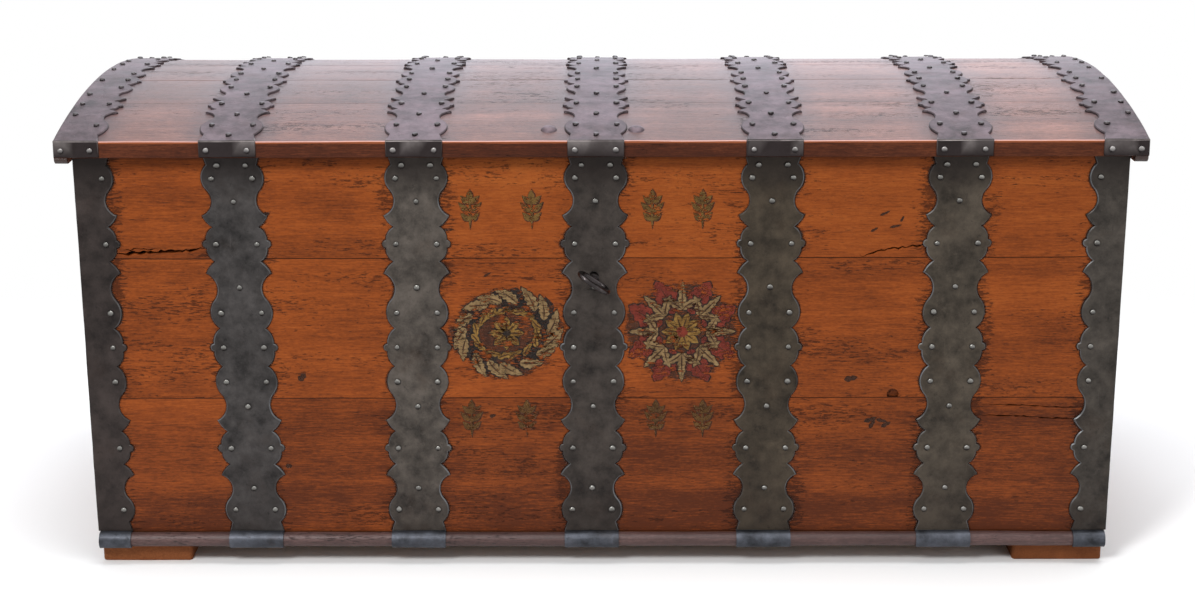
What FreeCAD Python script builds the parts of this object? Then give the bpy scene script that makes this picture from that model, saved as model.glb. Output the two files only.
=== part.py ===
"""Iron-bound plank chest with a low arched lid, seven straps and a lock.

Lengths are in millimetres, +Z is up, the front faces -Y and +X is to the right
of somebody who stands in front of the chest. The origin lies on the floor under
the middle of the whole chest, key and hinges included.
"""
import FreeCAD, Part
import math
import os

from FreeCAD import Vector

# Main sizes
LID_WIDTH = 1500.0
BODY_WIDTH = 1456.0
BODY_DEPTH = 640.0
LID_OVERHANG = 25.0
LID_EDGE_Z = 606.0
LID_THICK = 21.0
LID_RISE = 40.0
WALL = 30.0
RUNNER_HEIGHT = 26.0
FLOOR_THICK = 20.0
IRON = 3.0
PLAY = 0.4

# How far the key stands out in front and the hinges behind
KEY_REACH = 56.0
HINGE_REACH = 16.4

Y_MID = (KEY_REACH - HINGE_REACH) / 2
Y_FRONT = Y_MID - BODY_DEPTH / 2
Y_BACK = Y_MID + BODY_DEPTH / 2
Y_LID = Y_FRONT - LID_OVERHANG
X_END = BODY_WIDTH / 2
X_LID = LID_WIDTH / 2
Z_WALL = RUNNER_HEIGHT + FLOOR_THICK

# The lid's arch: its underside passes through both lower edges of the lid
ARCH_CHORD = Y_BACK - Y_LID
ARCH_RADIUS = (ARCH_CHORD ** 2 / 4 + LID_RISE ** 2) / (2 * LID_RISE)
ARCH_Y = (Y_LID + Y_BACK) / 2
ARCH_Z = LID_EDGE_Z + LID_RISE - ARCH_RADIUS
LID_OUTSIDE = ARCH_RADIUS + LID_THICK
STRAP_OUTSIDE = LID_OUTSIDE + IRON

# Planks, from the front edge of the lid and from the floor
FRONT_JOINTS_Z = (251.0, 456.0)
END_JOINT_Z = 330.0
LID_JOINTS = (144.0, 271.0, 405.0, 536.0)
FLOOR_BOARDS = 3
BATTEN_THICK = 18.5
BATTEN_DROP = 9.0
BATTEN_ROUND = 8.0

# Runners and base moulding
RUNNER_WIDTH = 130.0
RUNNER_SETBACK = 4.0
RUNNER_ROUND = 6.0
MOULDING_REACH = 14.0
CLIP_THICK = 2.5
CLIP_HALF_WIDTH = 39.0
CORNER_CLIP_WIDTH = 46.0

# Scalloped straps: the middles of the five inner ones at the lid and at the floor, as they
# were nailed on a little out of upright, and the half widths
STRAP_X = (-512.0, -256.0, -7.0, 238.0, 498.0)
STRAP_FOOT_X = (-500.0, -265.0, -14.5, 234.0, 494.0)
HINGE_STRAPS = (0, 2, 4)
KEY_STRAP = 2
HALF_NOTCH = 32.0
HALF_LOBE = 42.5
HALF_NIB = 47.5
HALF_BULB = 43.5
HALF_WAIST = 31.0
HALF_FLEX = 37.0
HALF_BARB = 45.5
HALF_END = 39.0
NIB = 5.5
STRAP_BOTTOM = Z_WALL + CLIP_THICK
STRAP_TOP = LID_EDGE_Z - 1
CORNER_AXIS = 8.0
LID_END_AXIS = 23.0

LOBE, BULB, WAIST, END = "lobe", "bulb", "waist", "end"
FRONT_HALF = ((BULB, 51), (WAIST, 88), (LOBE, 151), (WAIST, 212), (BULB, 245))
LID_RUN = ((BULB, 46), (WAIST, 86), (LOBE, 130), (WAIST, 176), (BULB, 212), (LOBE, 258),
           (BULB, 304), (WAIST, 344), (LOBE, 400), (WAIST, 446), (BULB, 484), (LOBE, 530),
           (BULB, 576), (WAIST, 618))

# Nails
NAIL_HEAD = 4.2
NAIL_CROWN = 2.6
NAIL_SHANK = 1.5
NAIL_IN_WALL = 22.0
NAIL_IN_LID = 14.0
NAIL_IN_LOCK = 7.0
NAIL_SPREAD = 28.5
TOP_NAIL_DROP = 15.0
TOP_NAIL_SPREAD = 20.0
TAB_NAIL_INSET = 11.0
EDGE_NAIL_BACK = 12.0
END_NAIL_IN = 26.0
END_NAIL_OUT = 12.0
HINGE_NAIL_STEP = 80
HINGE_NAIL_TOP = 560
HINGE_NAIL_SPREAD = 20.0

# Hinges
BARREL = 8.0
PIN = 4.0
RUNNING_FIT = 0.05
HINGE_Y = Y_BACK + HINGE_REACH - BARREL
HINGE_Z = LID_EDGE_Z - 9
HINGE_STRAP_HALF = 36.0
LID_KNUCKLE_HALF = 12.0

# Lock, key and staple
KEY_X = -10.0
KEY_Z = 431.0
KEY_TILT = 34.0
KEY_SHAFT = 4.5
KEYHOLE = 6.0
KEYHOLE_SLOT = (7.0, 17.0)
BIT_REACH = 15.0
BIT_THICK = 5.0
BOW_ROD = 3.2
BOW_HALF_LENGTH = 26.5
BOW_END_RADIUS = 15.0
COLLAR = (7.0, 5.0)
Y_INSIDE = Y_FRONT + WALL
LOCK_LOW, LOCK_HIGH = Vector(-125, 0, 392), Vector(90, 0, 593)
COVER_LOW, COVER_HIGH = Vector(-115, 0, 400), Vector(80, 0, 585)
COVER_DEPTH = 36.0
SHEET = 2.0
BOLT_Y = Y_INSIDE + 20.0
BOLT_THICK = 8.0
BOLT_BAR = 12.0
BOLT_UPRIGHT_X = (-45.0, 5.0)
BOLT_TAIL_X = -100.0
BOLT_HEAD_X = 41.0
BOLT_ABOVE_KEY = 9.5
TAIL_Z = KEY_Z + 20.0
BIT_PLAY = 1.9
GUIDE_SPANS = ((-66.0, -58.0), (32.0, 38.0))
GUIDE_RIM = 4.0
SPRING_FOOT = (-112.0, -106.0, 488.0, 505.0)
SPRING_TIP_X = -70.0
SPRING_THICK = 2.0
STAPLE_X = 48.0
STAPLE_THICK = 8.0
STAPLE_WIDTH = 16.0
STAPLE_EYE_Z = 558.0
STAPLE_PLATE = (146.0, 58.0, 5.0)
STAPLE_BOLT_X = (-72.0, 49.0)
STAPLE_BOLT_BACK = 39.0
STAPLE_BOLT_HEAD = (11.5, 4.5)
STAPLE_BOLT_SHANK = 4.0

# Handles on both ends
HANDLE_Z = 450.0
HANDLE_OUT = 17.0
HANDLE_ROD = 5.0
HANDLE_HALF = 76.0
HANDLE_DROP = 75.0
HANDLE_BEND = 16.0
EYE_MIDDLE = 60.0
EYE_THICK = 12.0
EYE_RADIUS = 10.0
EYE_BEND = 7.0
HANDLE_PLATE_HALF = (95.0, 24.0)
HANDLE_NAILS = (-84.0, -30.0, 30.0, 84.0)


def box(low, high):
    """Return a box between two corners."""
    size = high - low
    return Part.makeBox(size.x, size.y, size.z, low)


def rod(radius, start, end):
    """Return a round bar between two points."""
    return Part.makeCylinder(radius, (end - start).Length, start, end - start)


def arch(radius, half_length):
    """Return a solid cylinder about the axis of the lid's arch."""
    return rod(radius, Vector(-half_length, ARCH_Y, ARCH_Z), Vector(half_length, ARCH_Y, ARCH_Z))


def arch_z(y, radius):
    """Return the height of an arch of the given radius at a depth y."""
    return ARCH_Z + math.sqrt(radius ** 2 - (y - ARCH_Y) ** 2)


def arch_normal(y, radius):
    """Return the outward direction of the arch at a depth y."""
    return Vector(0, y - ARCH_Y, arch_z(y, radius) - ARCH_Z).normalize()


def arc(start, middle, end):
    """Return an edge along the arc through three points."""
    return Part.Arc(start, middle, end).toShape()


def line(start, end):
    """Return a straight edge."""
    return Part.LineSegment(start, end).toShape()


def prism(edges, along):
    """Return the solid swept by a closed outline along a vector."""
    return Part.Face(Part.Wire(edges)).extrude(along)


def polygon(points):
    """Return the edges of a closed outline with straight sides."""
    return [line(a, b) for a, b in zip(points, points[1:] + points[:1])]


# Scalloped edge

def knots(here, there):
    """Return the points of the edge between two features, as distance and half width."""
    (kind, at), (next_kind, next_at) = here, there
    gap = next_at - at
    if {kind, next_kind} == {BULB, WAIST}:
        return [(at + gap / 2, HALF_FLEX)]
    if kind == WAIST and next_kind == LOBE:
        return [(at + 0.33 * gap, HALF_BARB), (at + 0.6 * gap, HALF_NOTCH)]
    if kind == LOBE and next_kind == WAIST:
        return [(at + 0.4 * gap, HALF_NOTCH), (at + 0.67 * gap, HALF_BARB)]
    if next_kind == END:
        return [(at + 0.58 * gap, HALF_NOTCH + 3), (next_at, HALF_END)]
    if kind == END:
        return [(at, HALF_END), (at + 0.42 * gap, HALF_NOTCH + 3)]
    share = 0.55 if kind == LOBE else 0.45
    return [(at + share * gap, HALF_NOTCH)]


def blended(a, b, along, across):
    """Return a point between two edge points, with its own share each way."""
    return (a[0] + along * (b[0] - a[0]), a[1] + across * (b[1] - a[1]))


def scallops(features):
    """Return the edge through a row of features as triples of start, middle and end.

    A pair stands for a straight stretch.
    """
    runs = []
    before = knots(features[0], features[1])
    runs.append((before[0], before[1]))
    for here, there in zip(features[1:], features[2:]):
        start, after = before[-1], knots(here, there)
        kind, at = here
        if kind == LOBE:
            left, right = (at - NIB, HALF_LOBE), (at + NIB, HALF_LOBE)
            runs.append((start, blended(left, start, 0.62, 0.28), left))
            runs.append((left, (at, HALF_NIB), right))
            runs.append((right, blended(right, after[0], 0.62, 0.28), after[0]))
        else:
            crest = HALF_BULB if kind == BULB else HALF_WAIST
            runs.append((start, (at, crest), after[0]))
        if there[0] == END:
            runs.append((after[0], after[1]))
        elif len(after) == 2:
            tip, root = (after[0], after[1]) if kind == WAIST else (after[1], after[0])
            runs.append((after[0], blended(tip, root, 0.62, 0.48), after[1]))
        before = after
    return runs


def edges_of(runs, to_point):
    """Return the edges of a row of runs, placed by a function of distance and half width."""
    edges = []
    for run in runs:
        points = [to_point(*knot) for knot in run]
        edges.append(line(*points) if len(points) == 2 else arc(*points))
    return edges


def band(runs, right, left):
    """Return the outline of a strap from its two edges, each placed by a function."""
    first, last = runs[0][0], runs[-1][-1]
    top, bottom = line(right(*last), left(*last)), line(left(*first), right(*first))
    return edges_of(runs, right) + [top] + edges_of(runs, left)[::-1] + [bottom]


STRAP_MIDDLE = (STRAP_BOTTOM + STRAP_TOP) / 2
STRAP_HALF = (STRAP_TOP - STRAP_BOTTOM) / 2
FRONT_FEATURES = ([(END, -STRAP_HALF)] + [(kind, -at) for kind, at in reversed(FRONT_HALF)]
                  + [(LOBE, 0)] + list(FRONT_HALF) + [(END, STRAP_HALF)])
LID_FEATURES = [(END, 0)] + list(LID_RUN) + [(END, ARCH_CHORD)]


# Nails

def nail(depth, head=NAIL_HEAD, crown=NAIL_CROWN, shank=NAIL_SHANK):
    """Return a nail with a domed head that sits at the origin and points down."""
    top, rim = Vector(0, 0, crown), Vector(head, 0, 0)
    shoulder = Vector(0.74 * head, 0, 0.66 * crown)
    outline = [arc(top, shoulder, rim), line(rim, Vector(shank, 0, 0)),
               line(Vector(shank, 0, 0), Vector(shank, 0, -depth)),
               line(Vector(shank, 0, -depth), Vector(0, 0, -depth)), line(Vector(0, 0, -depth), top)]
    return Part.Face(Part.Wire(outline)).revolve(Vector(0, 0, 0), Vector(0, 0, 1), 360)


def driven(shape, point, outward):
    """Return a copy of a nail with its head at a point, facing outward."""
    copy = shape.copy()
    copy.Placement = FreeCAD.Placement(point, FreeCAD.Rotation(Vector(0, 0, 1), outward))
    return copy


def nail_rows(features, spread=NAIL_SPREAD):
    """Return the nail places of a two-sided strap as distance and offset from its middle."""
    places = []
    for kind, at in features:
        if kind == WAIST:
            places.append((at, 0.0))
        elif kind != END:
            places += [(at, -spread), (at, spread)]
    return places


def punched(strap, places, depth):
    """Return a strap with a hole for each nail, given as point and outward direction."""
    holes = [rod(NAIL_SHANK, point - out * depth, point + out * depth) for point, out in places]
    return strap.cut(Part.makeCompound(holes))


def drive_all(places, depth):
    """Return one nail per place."""
    pattern = nail(depth)
    return [driven(pattern, point, out) for point, out in places]


# Planks of the body

def walls():
    """Return the planks of the four sides by name, with tops that follow the lid."""
    under_lid = arch(ARCH_RADIUS - PLAY, X_END)
    top = LID_EDGE_Z + LID_RISE
    levels = (Z_WALL,) + FRONT_JOINTS_Z + (top,)
    parts = {}
    for name, y in (("front", Y_FRONT), ("back", Y_BACK - WALL)):
        for level, low, high in zip(("bottom", "middle", "top"), levels, levels[1:]):
            plank = box(Vector(-X_END, y, low), Vector(X_END, y + WALL, high))
            parts[name + "_plank_" + level] = plank.common(under_lid) if high == top else plank
    for name, x in (("left", -X_END), ("right", X_END - WALL)):
        low_corner = Vector(x, Y_INSIDE, Z_WALL)
        far = Vector(x + WALL, Y_BACK - WALL, END_JOINT_Z)
        parts[name + "_end_plank_bottom"] = box(low_corner, far)
        upper = box(Vector(x, Y_INSIDE, END_JOINT_Z), Vector(far.x, far.y, top))
        parts[name + "_end_plank_top"] = upper.common(under_lid)
    hole = keyhole(Y_FRONT - 1, Y_INSIDE + 1)
    parts["front_plank_middle"] = parts["front_plank_middle"].cut(hole)
    return parts


def floor_and_runners():
    """Return the floor boards and the two runners that the chest stands on."""
    parts = {}
    wide = BODY_DEPTH / FLOOR_BOARDS
    for place, name in enumerate(("front", "middle", "back")):
        y = Y_FRONT + place * wide
        parts["floor_board_" + name] = box(Vector(-X_END, y, RUNNER_HEIGHT),
                                           Vector(X_END, y + wide, Z_WALL))
    for name, x in (("left", -X_END), ("right", X_END - RUNNER_WIDTH)):
        runner = box(Vector(x, Y_FRONT + RUNNER_SETBACK, 0),
                     Vector(x + RUNNER_WIDTH, Y_BACK - RUNNER_SETBACK, RUNNER_HEIGHT))
        upright = [e for e in runner.Edges if e.BoundBox.ZLength > RUNNER_HEIGHT / 2]
        parts[name + "_runner"] = runner.makeFillet(RUNNER_ROUND, upright)
    return parts


def nosing(grow, low_x, high_x):
    """Return a bar with the moulding's rounded section, grown outward by an amount."""
    radius = FLOOR_THICK / 2
    nose_y = Y_FRONT - MOULDING_REACH + radius
    mid_z = RUNNER_HEIGHT + radius
    outer = radius + grow
    top, bottom = Vector(low_x, nose_y, mid_z + outer), Vector(low_x, nose_y, mid_z - outer)
    tip = Vector(low_x, nose_y - outer, mid_z)
    wall_top, wall_bottom = Vector(low_x, Y_FRONT, top.z), Vector(low_x, Y_FRONT, bottom.z)
    outline = [line(wall_bottom, wall_top), line(wall_top, top), arc(top, tip, bottom),
               line(bottom, wall_bottom)]
    return prism(outline, Vector(high_x - low_x, 0, 0))


def moulding_and_clips():
    """Return the base moulding and the iron clips that hold it at every strap."""
    moulding = nosing(0, -X_END, X_END)
    clear = box(Vector(-LID_WIDTH, Y_FRONT - 2 * MOULDING_REACH, RUNNER_HEIGHT),
                Vector(LID_WIDTH, Y_FRONT, Z_WALL + 2 * CLIP_THICK))
    spans = [(x - CLIP_HALF_WIDTH, x + CLIP_HALF_WIDTH) for x in STRAP_FOOT_X]
    spans += [(-X_END, CORNER_CLIP_WIDTH - X_END), (X_END - CORNER_CLIP_WIDTH, X_END)]
    clips = [nosing(CLIP_THICK, *span).common(clear).cut(moulding) for span in spans]
    return {"base_moulding": moulding, "moulding_clips": Part.makeCompound(clips)}


# Straps of the body

def front_straps():
    """Return the five scalloped front straps and the places of their nails."""
    runs = scallops(FRONT_FEATURES)
    top, out = STRAP_HALF - TOP_NAIL_DROP, Vector(0, -1, 0)
    places = nail_rows(FRONT_FEATURES) + [(top, -TOP_NAIL_SPREAD), (top, TOP_NAIL_SPREAD)]
    parts, nails = {}, []
    for number, (top_x, foot_x) in enumerate(zip(STRAP_X, STRAP_FOOT_X)):
        middle, lean = (top_x + foot_x) / 2, (top_x - foot_x) / (2 * STRAP_HALF)

        def at(s, off):
            return Vector(middle + lean * s + off, Y_FRONT, STRAP_MIDDLE + s)

        strap = prism(band(runs, at, lambda s, w: at(s, -w)), Vector(0, -IRON, 0))
        own = [(at(s, off) + out * IRON, out) for s, off in places]
        if number == KEY_STRAP:
            strap = strap.cut(keyhole(Y_FRONT - 2 * IRON, Y_FRONT + 1))
        parts["front_strap_%d" % (number + 1)] = punched(strap, own, 2 * IRON)
        nails += own
    return parts, nails


def corner_strap(side, face_y, out_y):
    """Return one corner strap and its nails.

    side is -1 for the left end and 1 for the right one, face_y the front or back
    face of the body and out_y the direction in which that face looks.
    """
    runs = scallops(FRONT_FEATURES)
    corner = Vector(side * X_END, face_y, 0)
    face_out, end_out = Vector(0, out_y, 0), Vector(side, 0, 0)
    legs, nails = [], []
    for out, inward in ((face_out, -end_out), (end_out, -face_out)):
        def at(s, w):
            return corner + inward * (w + CORNER_AXIS) + Vector(0, 0, STRAP_MIDDLE + s)

        def outer(s, w):
            return corner - inward * IRON + Vector(0, 0, STRAP_MIDDLE + s)

        first, last = runs[0][0], runs[-1][-1]
        rest = [at(*last), outer(*last), outer(*first), at(*first)]
        outline = edges_of(runs, at) + polygon(rest)[:3]
        legs.append(prism(outline, out * IRON))
        nails += [(at(s, NAIL_SPREAD) + out * IRON, out) for kind, s in FRONT_FEATURES
                  if kind in (LOBE, BULB)]
    return punched(legs[0].fuse(legs[1]).removeSplitter(), nails, 2 * IRON), nails


def corner_straps():
    """Return the four corner straps and the places of their nails, front ones apart."""
    parts, front, others = {}, [], []
    for side_name, side in (("left", -1), ("right", 1)):
        for face_name, face_y, out_y in (("front", Y_FRONT, -1), ("back", Y_BACK, 1)):
            strap, nails = corner_strap(side, face_y, out_y)
            parts["corner_strap_%s_%s" % (face_name, side_name)] = strap
            for point, out in nails:
                (front if out.y < -0.5 else others).append((point, out))
    return parts, front, others


def knuckle(low_x, high_x, bore):
    """Return one hollow knuckle of a hinge."""
    low, high = Vector(low_x, HINGE_Y, HINGE_Z), Vector(high_x, HINGE_Y, HINGE_Z)
    return rod(BARREL, low, high).cut(rod(bore, low, high))


def hinge_bore(low_x, high_x, bore):
    """Return the round space that the hinge pin takes."""
    return rod(bore, Vector(low_x, HINGE_Y, HINGE_Z), Vector(high_x, HINGE_Y, HINGE_Z))


def hinge_straps():
    """Return the back straps with their knuckles, the hinge pins and the nail places."""
    parts, pins, nails = {}, [], []
    for name, number in zip(("left", "middle", "right"), HINGE_STRAPS):
        x = STRAP_X[number]
        top = HINGE_Z - BARREL - 1
        strap = box(Vector(x - HINGE_STRAP_HALF, Y_BACK, RUNNER_HEIGHT + 4),
                    Vector(x + HINGE_STRAP_HALF, Y_BACK + IRON, top))
        inner = LID_KNUCKLE_HALF + PLAY
        for low, high in ((x - HINGE_STRAP_HALF, x - inner), (x + inner, x + HINGE_STRAP_HALF)):
            leaf = box(Vector(low, Y_BACK, top), Vector(high, Y_BACK + IRON, HINGE_Z))
            strap = strap.fuse(leaf).fuse(knuckle(low, high, PIN))
        strap = strap.cut(hinge_bore(x - HINGE_STRAP_HALF, x + HINGE_STRAP_HALF, PIN)).removeSplitter()
        own = [(Vector(x + off, Y_BACK + IRON, z), Vector(0, 1, 0))
               for z in range(HINGE_NAIL_STEP, HINGE_NAIL_TOP, HINGE_NAIL_STEP)
               for off in (-HINGE_NAIL_SPREAD, HINGE_NAIL_SPREAD)]
        parts["hinge_strap_" + name] = punched(strap, own, 2 * IRON)
        nails += own
        reach = HINGE_STRAP_HALF + 3
        pin = rod(PIN, Vector(x - reach, HINGE_Y, HINGE_Z), Vector(x + reach, HINGE_Y, HINGE_Z))
        for low, high in ((x - reach, x - HINGE_STRAP_HALF), (x + HINGE_STRAP_HALF, x + reach)):
            pin = pin.fuse(hinge_bore(low, high, PIN + 2))
        pins.append(pin.removeSplitter())
    parts["hinge_pins"] = Part.makeCompound(pins)
    return parts, nails


# Handles

def handles():
    """Return the handle plates with their eyes, the bails and the nail places."""
    parts, nails = {}, []
    for name, side in (("left", -1), ("right", 1)):
        face = side * X_END
        axis_x = face + side * HANDLE_OUT
        plate = plate_with_eyes(face, side, axis_x)
        own = [(Vector(face + side * IRON, Y_MID + y, HANDLE_Z), Vector(side, 0, 0)) for y in HANDLE_NAILS]
        parts[name + "_handle_plate"] = punched(plate, own, 2 * IRON)
        parts[name + "_handle"] = bail(axis_x)
        nails += own
    return parts, nails


def plate_with_eyes(face, side, axis_x):
    """Return an iron plate with two eyes that carry a bail."""
    half_long, half_high = HANDLE_PLATE_HALF
    low, high = sorted((face, face + side * IRON))
    plate = box(Vector(low, Y_MID - half_long, HANDLE_Z - half_high),
                Vector(high, Y_MID + half_long, HANDLE_Z + half_high))
    upright = [e for e in plate.Edges if e.BoundBox.XLength > IRON / 2]
    plate = plate.makeFillet(half_high - 1, upright)
    for y in (Y_MID - EYE_MIDDLE, Y_MID + EYE_MIDDLE):
        ends = Vector(axis_x, y - EYE_THICK / 2, HANDLE_Z), Vector(axis_x, y + EYE_THICK / 2, HANDLE_Z)
        near, far = sorted((face + side * IRON / 2, axis_x))
        neck = box(Vector(near, ends[0].y, HANDLE_Z - EYE_RADIUS),
                   Vector(far, ends[1].y, HANDLE_Z + EYE_RADIUS))
        plate = plate.fuse(neck.fuse(rod(EYE_RADIUS, *ends)))
        plate = plate.cut(rod(HANDLE_ROD + RUNNING_FIT, *ends))
    return plate.removeSplitter()


def bail(axis_x):
    """Return the hanging bail, a rod bent into a U with turned-in ends."""
    inner = EYE_MIDDLE - EYE_THICK / 2 - 3
    corners = [Vector(axis_x, Y_MID + y, HANDLE_Z + z) for y, z in (
        (-inner, 0), (-HANDLE_HALF, 0), (-HANDLE_HALF, -HANDLE_DROP),
        (HANDLE_HALF, -HANDLE_DROP), (HANDLE_HALF, 0), (inner, 0))]
    radii = (EYE_BEND, HANDLE_BEND, HANDLE_BEND, EYE_BEND)
    return pipe(rounded(corners, radii), HANDLE_ROD)


def rounded(corners, radii):
    """Return the edges of an open route whose right-angled corners are rounded by arcs."""
    edges, here = [], corners[0]
    for before, corner, after, radius in zip(corners, corners[1:], corners[2:], radii):
        back = (before - corner).normalize()
        forward = (after - corner).normalize()
        start, end = corner + back * radius, corner + forward * radius
        middle = corner + (back + forward) * (radius * (1 - math.sqrt(0.5)))
        edges += [line(here, start), arc(start, middle, end)]
        here = end
    return edges + [line(here, corners[-1])]


def pipe(edges, radius):
    """Return a round rod along a route."""
    start = edges[0].Vertexes[0].Point
    along = edges[0].tangentAt(edges[0].FirstParameter)
    ring = Part.Wire(Part.Circle(start, along, radius).toShape())
    return Part.Wire(edges).makePipeShell([ring], True, False)


# Lock and key

def keyhole(near_y, far_y):
    """Return the space of the keyhole, a round hole with a slot below it for the bit."""
    wide, reach = KEYHOLE_SLOT
    hole = rod(KEYHOLE, Vector(KEY_X, near_y, KEY_Z), Vector(KEY_X, far_y, KEY_Z))
    slot = box(Vector(KEY_X - wide / 2, near_y, KEY_Z - reach), Vector(KEY_X + wide / 2, far_y, KEY_Z))
    return hole.fuse(slot)


def lock_body():
    """Return the lock's fixed pieces: plate, cover, bolt guides and spring."""
    plate_y = Y_INSIDE + IRON
    plate = box(Vector(LOCK_LOW.x, Y_INSIDE, LOCK_LOW.z), Vector(LOCK_HIGH.x, plate_y, LOCK_HIGH.z))
    plate = plate.cut(keyhole(Y_INSIDE - 1, plate_y + 1))
    nails = [(Vector(x, plate_y, z), Vector(0, 1, 0)) for x in (LOCK_LOW.x + 5, LOCK_HIGH.x - 5)
             for z in (LOCK_LOW.z + 15, (LOCK_LOW.z + LOCK_HIGH.z) / 2, LOCK_HIGH.z - 15)]
    parts = {"lock_plate": punched(plate, nails, 2 * IRON), "lock_cover": lock_cover(plate_y)}
    levels = (TAIL_Z, STAPLE_EYE_Z)
    guides = [bolt_guide(*span, z, plate_y) for span, z in zip(GUIDE_SPANS, levels)]
    parts["lock_bolt_guides"] = Part.makeCompound(guides)
    parts["lock_spring"] = lock_spring(plate_y)
    return parts, nails


def lock_cover(plate_y):
    """Return the sheet-iron box over the lock, open towards the plate."""
    far = Y_INSIDE + COVER_DEPTH + IRON
    wall = Vector(SHEET, 0, SHEET)
    outside = box(Vector(COVER_LOW.x, plate_y, COVER_LOW.z), Vector(COVER_HIGH.x, far, COVER_HIGH.z))
    inside = box(COVER_LOW + wall + Vector(0, plate_y, 0), COVER_HIGH - wall + Vector(0, far - SHEET, 0))
    slot = box(Vector(STAPLE_X - STAPLE_THICK, BOLT_Y - STAPLE_WIDTH / 2 - 5, COVER_HIGH.z - 2 * SHEET),
               Vector(STAPLE_X + STAPLE_THICK, BOLT_Y + STAPLE_WIDTH / 2 + 3, COVER_HIGH.z + SHEET))
    pivot = rod(KEY_SHAFT + RUNNING_FIT, Vector(KEY_X, plate_y + SHEET, KEY_Z),
                Vector(KEY_X, far + 1, KEY_Z))
    return outside.cut(inside).cut(slot).cut(pivot)


def bolt_guide(low_x, high_x, mid_z, plate_y):
    """Return an iron loop on the lock plate in which the bolt slides."""
    half_y, half_z = BOLT_THICK / 2 + PLAY, BOLT_BAR / 2 + PLAY
    outer_z = half_z + GUIDE_RIM
    block = box(Vector(low_x, plate_y, mid_z - outer_z),
                Vector(high_x, BOLT_Y + half_y + IRON, mid_z + outer_z))
    window = box(Vector(low_x, BOLT_Y - half_y, mid_z - half_z),
                 Vector(high_x, BOLT_Y + half_y, mid_z + half_z))
    return block.cut(window)


def lock_spring(plate_y):
    """Return the leaf spring that bears on the tail of the bolt."""
    tail_top = TAIL_Z + BOLT_BAR / 2 + PLAY
    low_x, high_x, low_z, high_z = SPRING_FOOT
    foot = box(Vector(low_x, plate_y, low_z), Vector(high_x, BOLT_Y + BOLT_THICK / 2, high_z))
    root_x, root_z = high_x - 1, low_z + 1
    tip_x, thick = SPRING_TIP_X, SPRING_THICK
    leaf = [Vector(x, BOLT_Y - BOLT_THICK / 2, z) for x, z in (
        (root_x, root_z + 1.5 * thick), (root_x, root_z), (tip_x - 1.5 * thick, tail_top),
        (tip_x, tail_top), (tip_x, tail_top + thick), (tip_x - thick, tail_top + thick))]
    return foot.fuse(prism(polygon(leaf), Vector(0, BOLT_THICK, 0))).removeSplitter()


def lock_bolt():
    """Return the sliding bolt: tail, upright with the notch for the bit, and head."""
    low_y, high_y = BOLT_Y - BOLT_THICK / 2, BOLT_Y + BOLT_THICK / 2
    bottom, half_bar = KEY_Z + BOLT_ABOVE_KEY, BOLT_BAR / 2
    left_x, right_x = BOLT_UPRIGHT_X
    upright = box(Vector(left_x, low_y, bottom), Vector(right_x, high_y, STAPLE_EYE_Z + BOLT_BAR))
    tail = box(Vector(BOLT_TAIL_X, low_y, TAIL_Z - half_bar), Vector(left_x, high_y, TAIL_Z + half_bar))
    head = box(Vector(right_x, low_y, STAPLE_EYE_Z - half_bar),
               Vector(BOLT_HEAD_X, high_y, STAPLE_EYE_Z + half_bar))
    notch_x = KEY_X - BIT_REACH * math.cos(math.radians(KEY_TILT))
    half = BIT_THICK / 2 + BIT_PLAY
    notch = box(Vector(notch_x - half, low_y, bottom), Vector(notch_x + half, high_y, KEY_Z + BIT_REACH + 1))
    return upright.fuse(tail).fuse(head).removeSplitter().cut(notch)


def key():
    """Return the key, turned as it stands in the lock at rest."""
    tip_y = Y_INSIDE + IRON + COVER_DEPTH + 2
    bow_y = Y_FRONT - KEY_REACH + BOW_ROD + BOW_END_RADIUS
    shaft_y = bow_y + BOW_END_RADIUS
    collar_radius, collar_length = COLLAR
    shaft = rod(KEY_SHAFT, Vector(0, shaft_y, 0), Vector(0, tip_y, 0))
    collar = rod(collar_radius, Vector(0, shaft_y + 3, 0), Vector(0, shaft_y + 3 + collar_length, 0))
    bit = box(Vector(-BIT_REACH, BOLT_Y - BOLT_THICK / 2, -BIT_THICK / 2),
              Vector(0, BOLT_Y + BOLT_THICK / 2, BIT_THICK / 2))
    whole = shaft.fuse(collar).fuse(bit).fuse(bow(bow_y)).removeSplitter()
    whole.rotate(Vector(0, 0, 0), Vector(0, 1, 0), KEY_TILT)
    whole.translate(Vector(KEY_X, 0, KEY_Z))
    return whole


def bow(mid_y):
    """Return the ring that the key is turned by, lying flat before the key is tilted."""
    straight = BOW_HALF_LENGTH - BOW_ROD - BOW_END_RADIUS
    low, high = mid_y - BOW_END_RADIUS, mid_y + BOW_END_RADIUS
    far = straight + BOW_END_RADIUS
    edges = [line(Vector(-straight, low, 0), Vector(straight, low, 0)),
             arc(Vector(straight, low, 0), Vector(far, mid_y, 0), Vector(straight, high, 0)),
             line(Vector(straight, high, 0), Vector(-straight, high, 0)),
             arc(Vector(-straight, high, 0), Vector(-far, mid_y, 0), Vector(-straight, low, 0))]
    return pipe(edges, BOW_ROD)


# Lid

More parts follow.
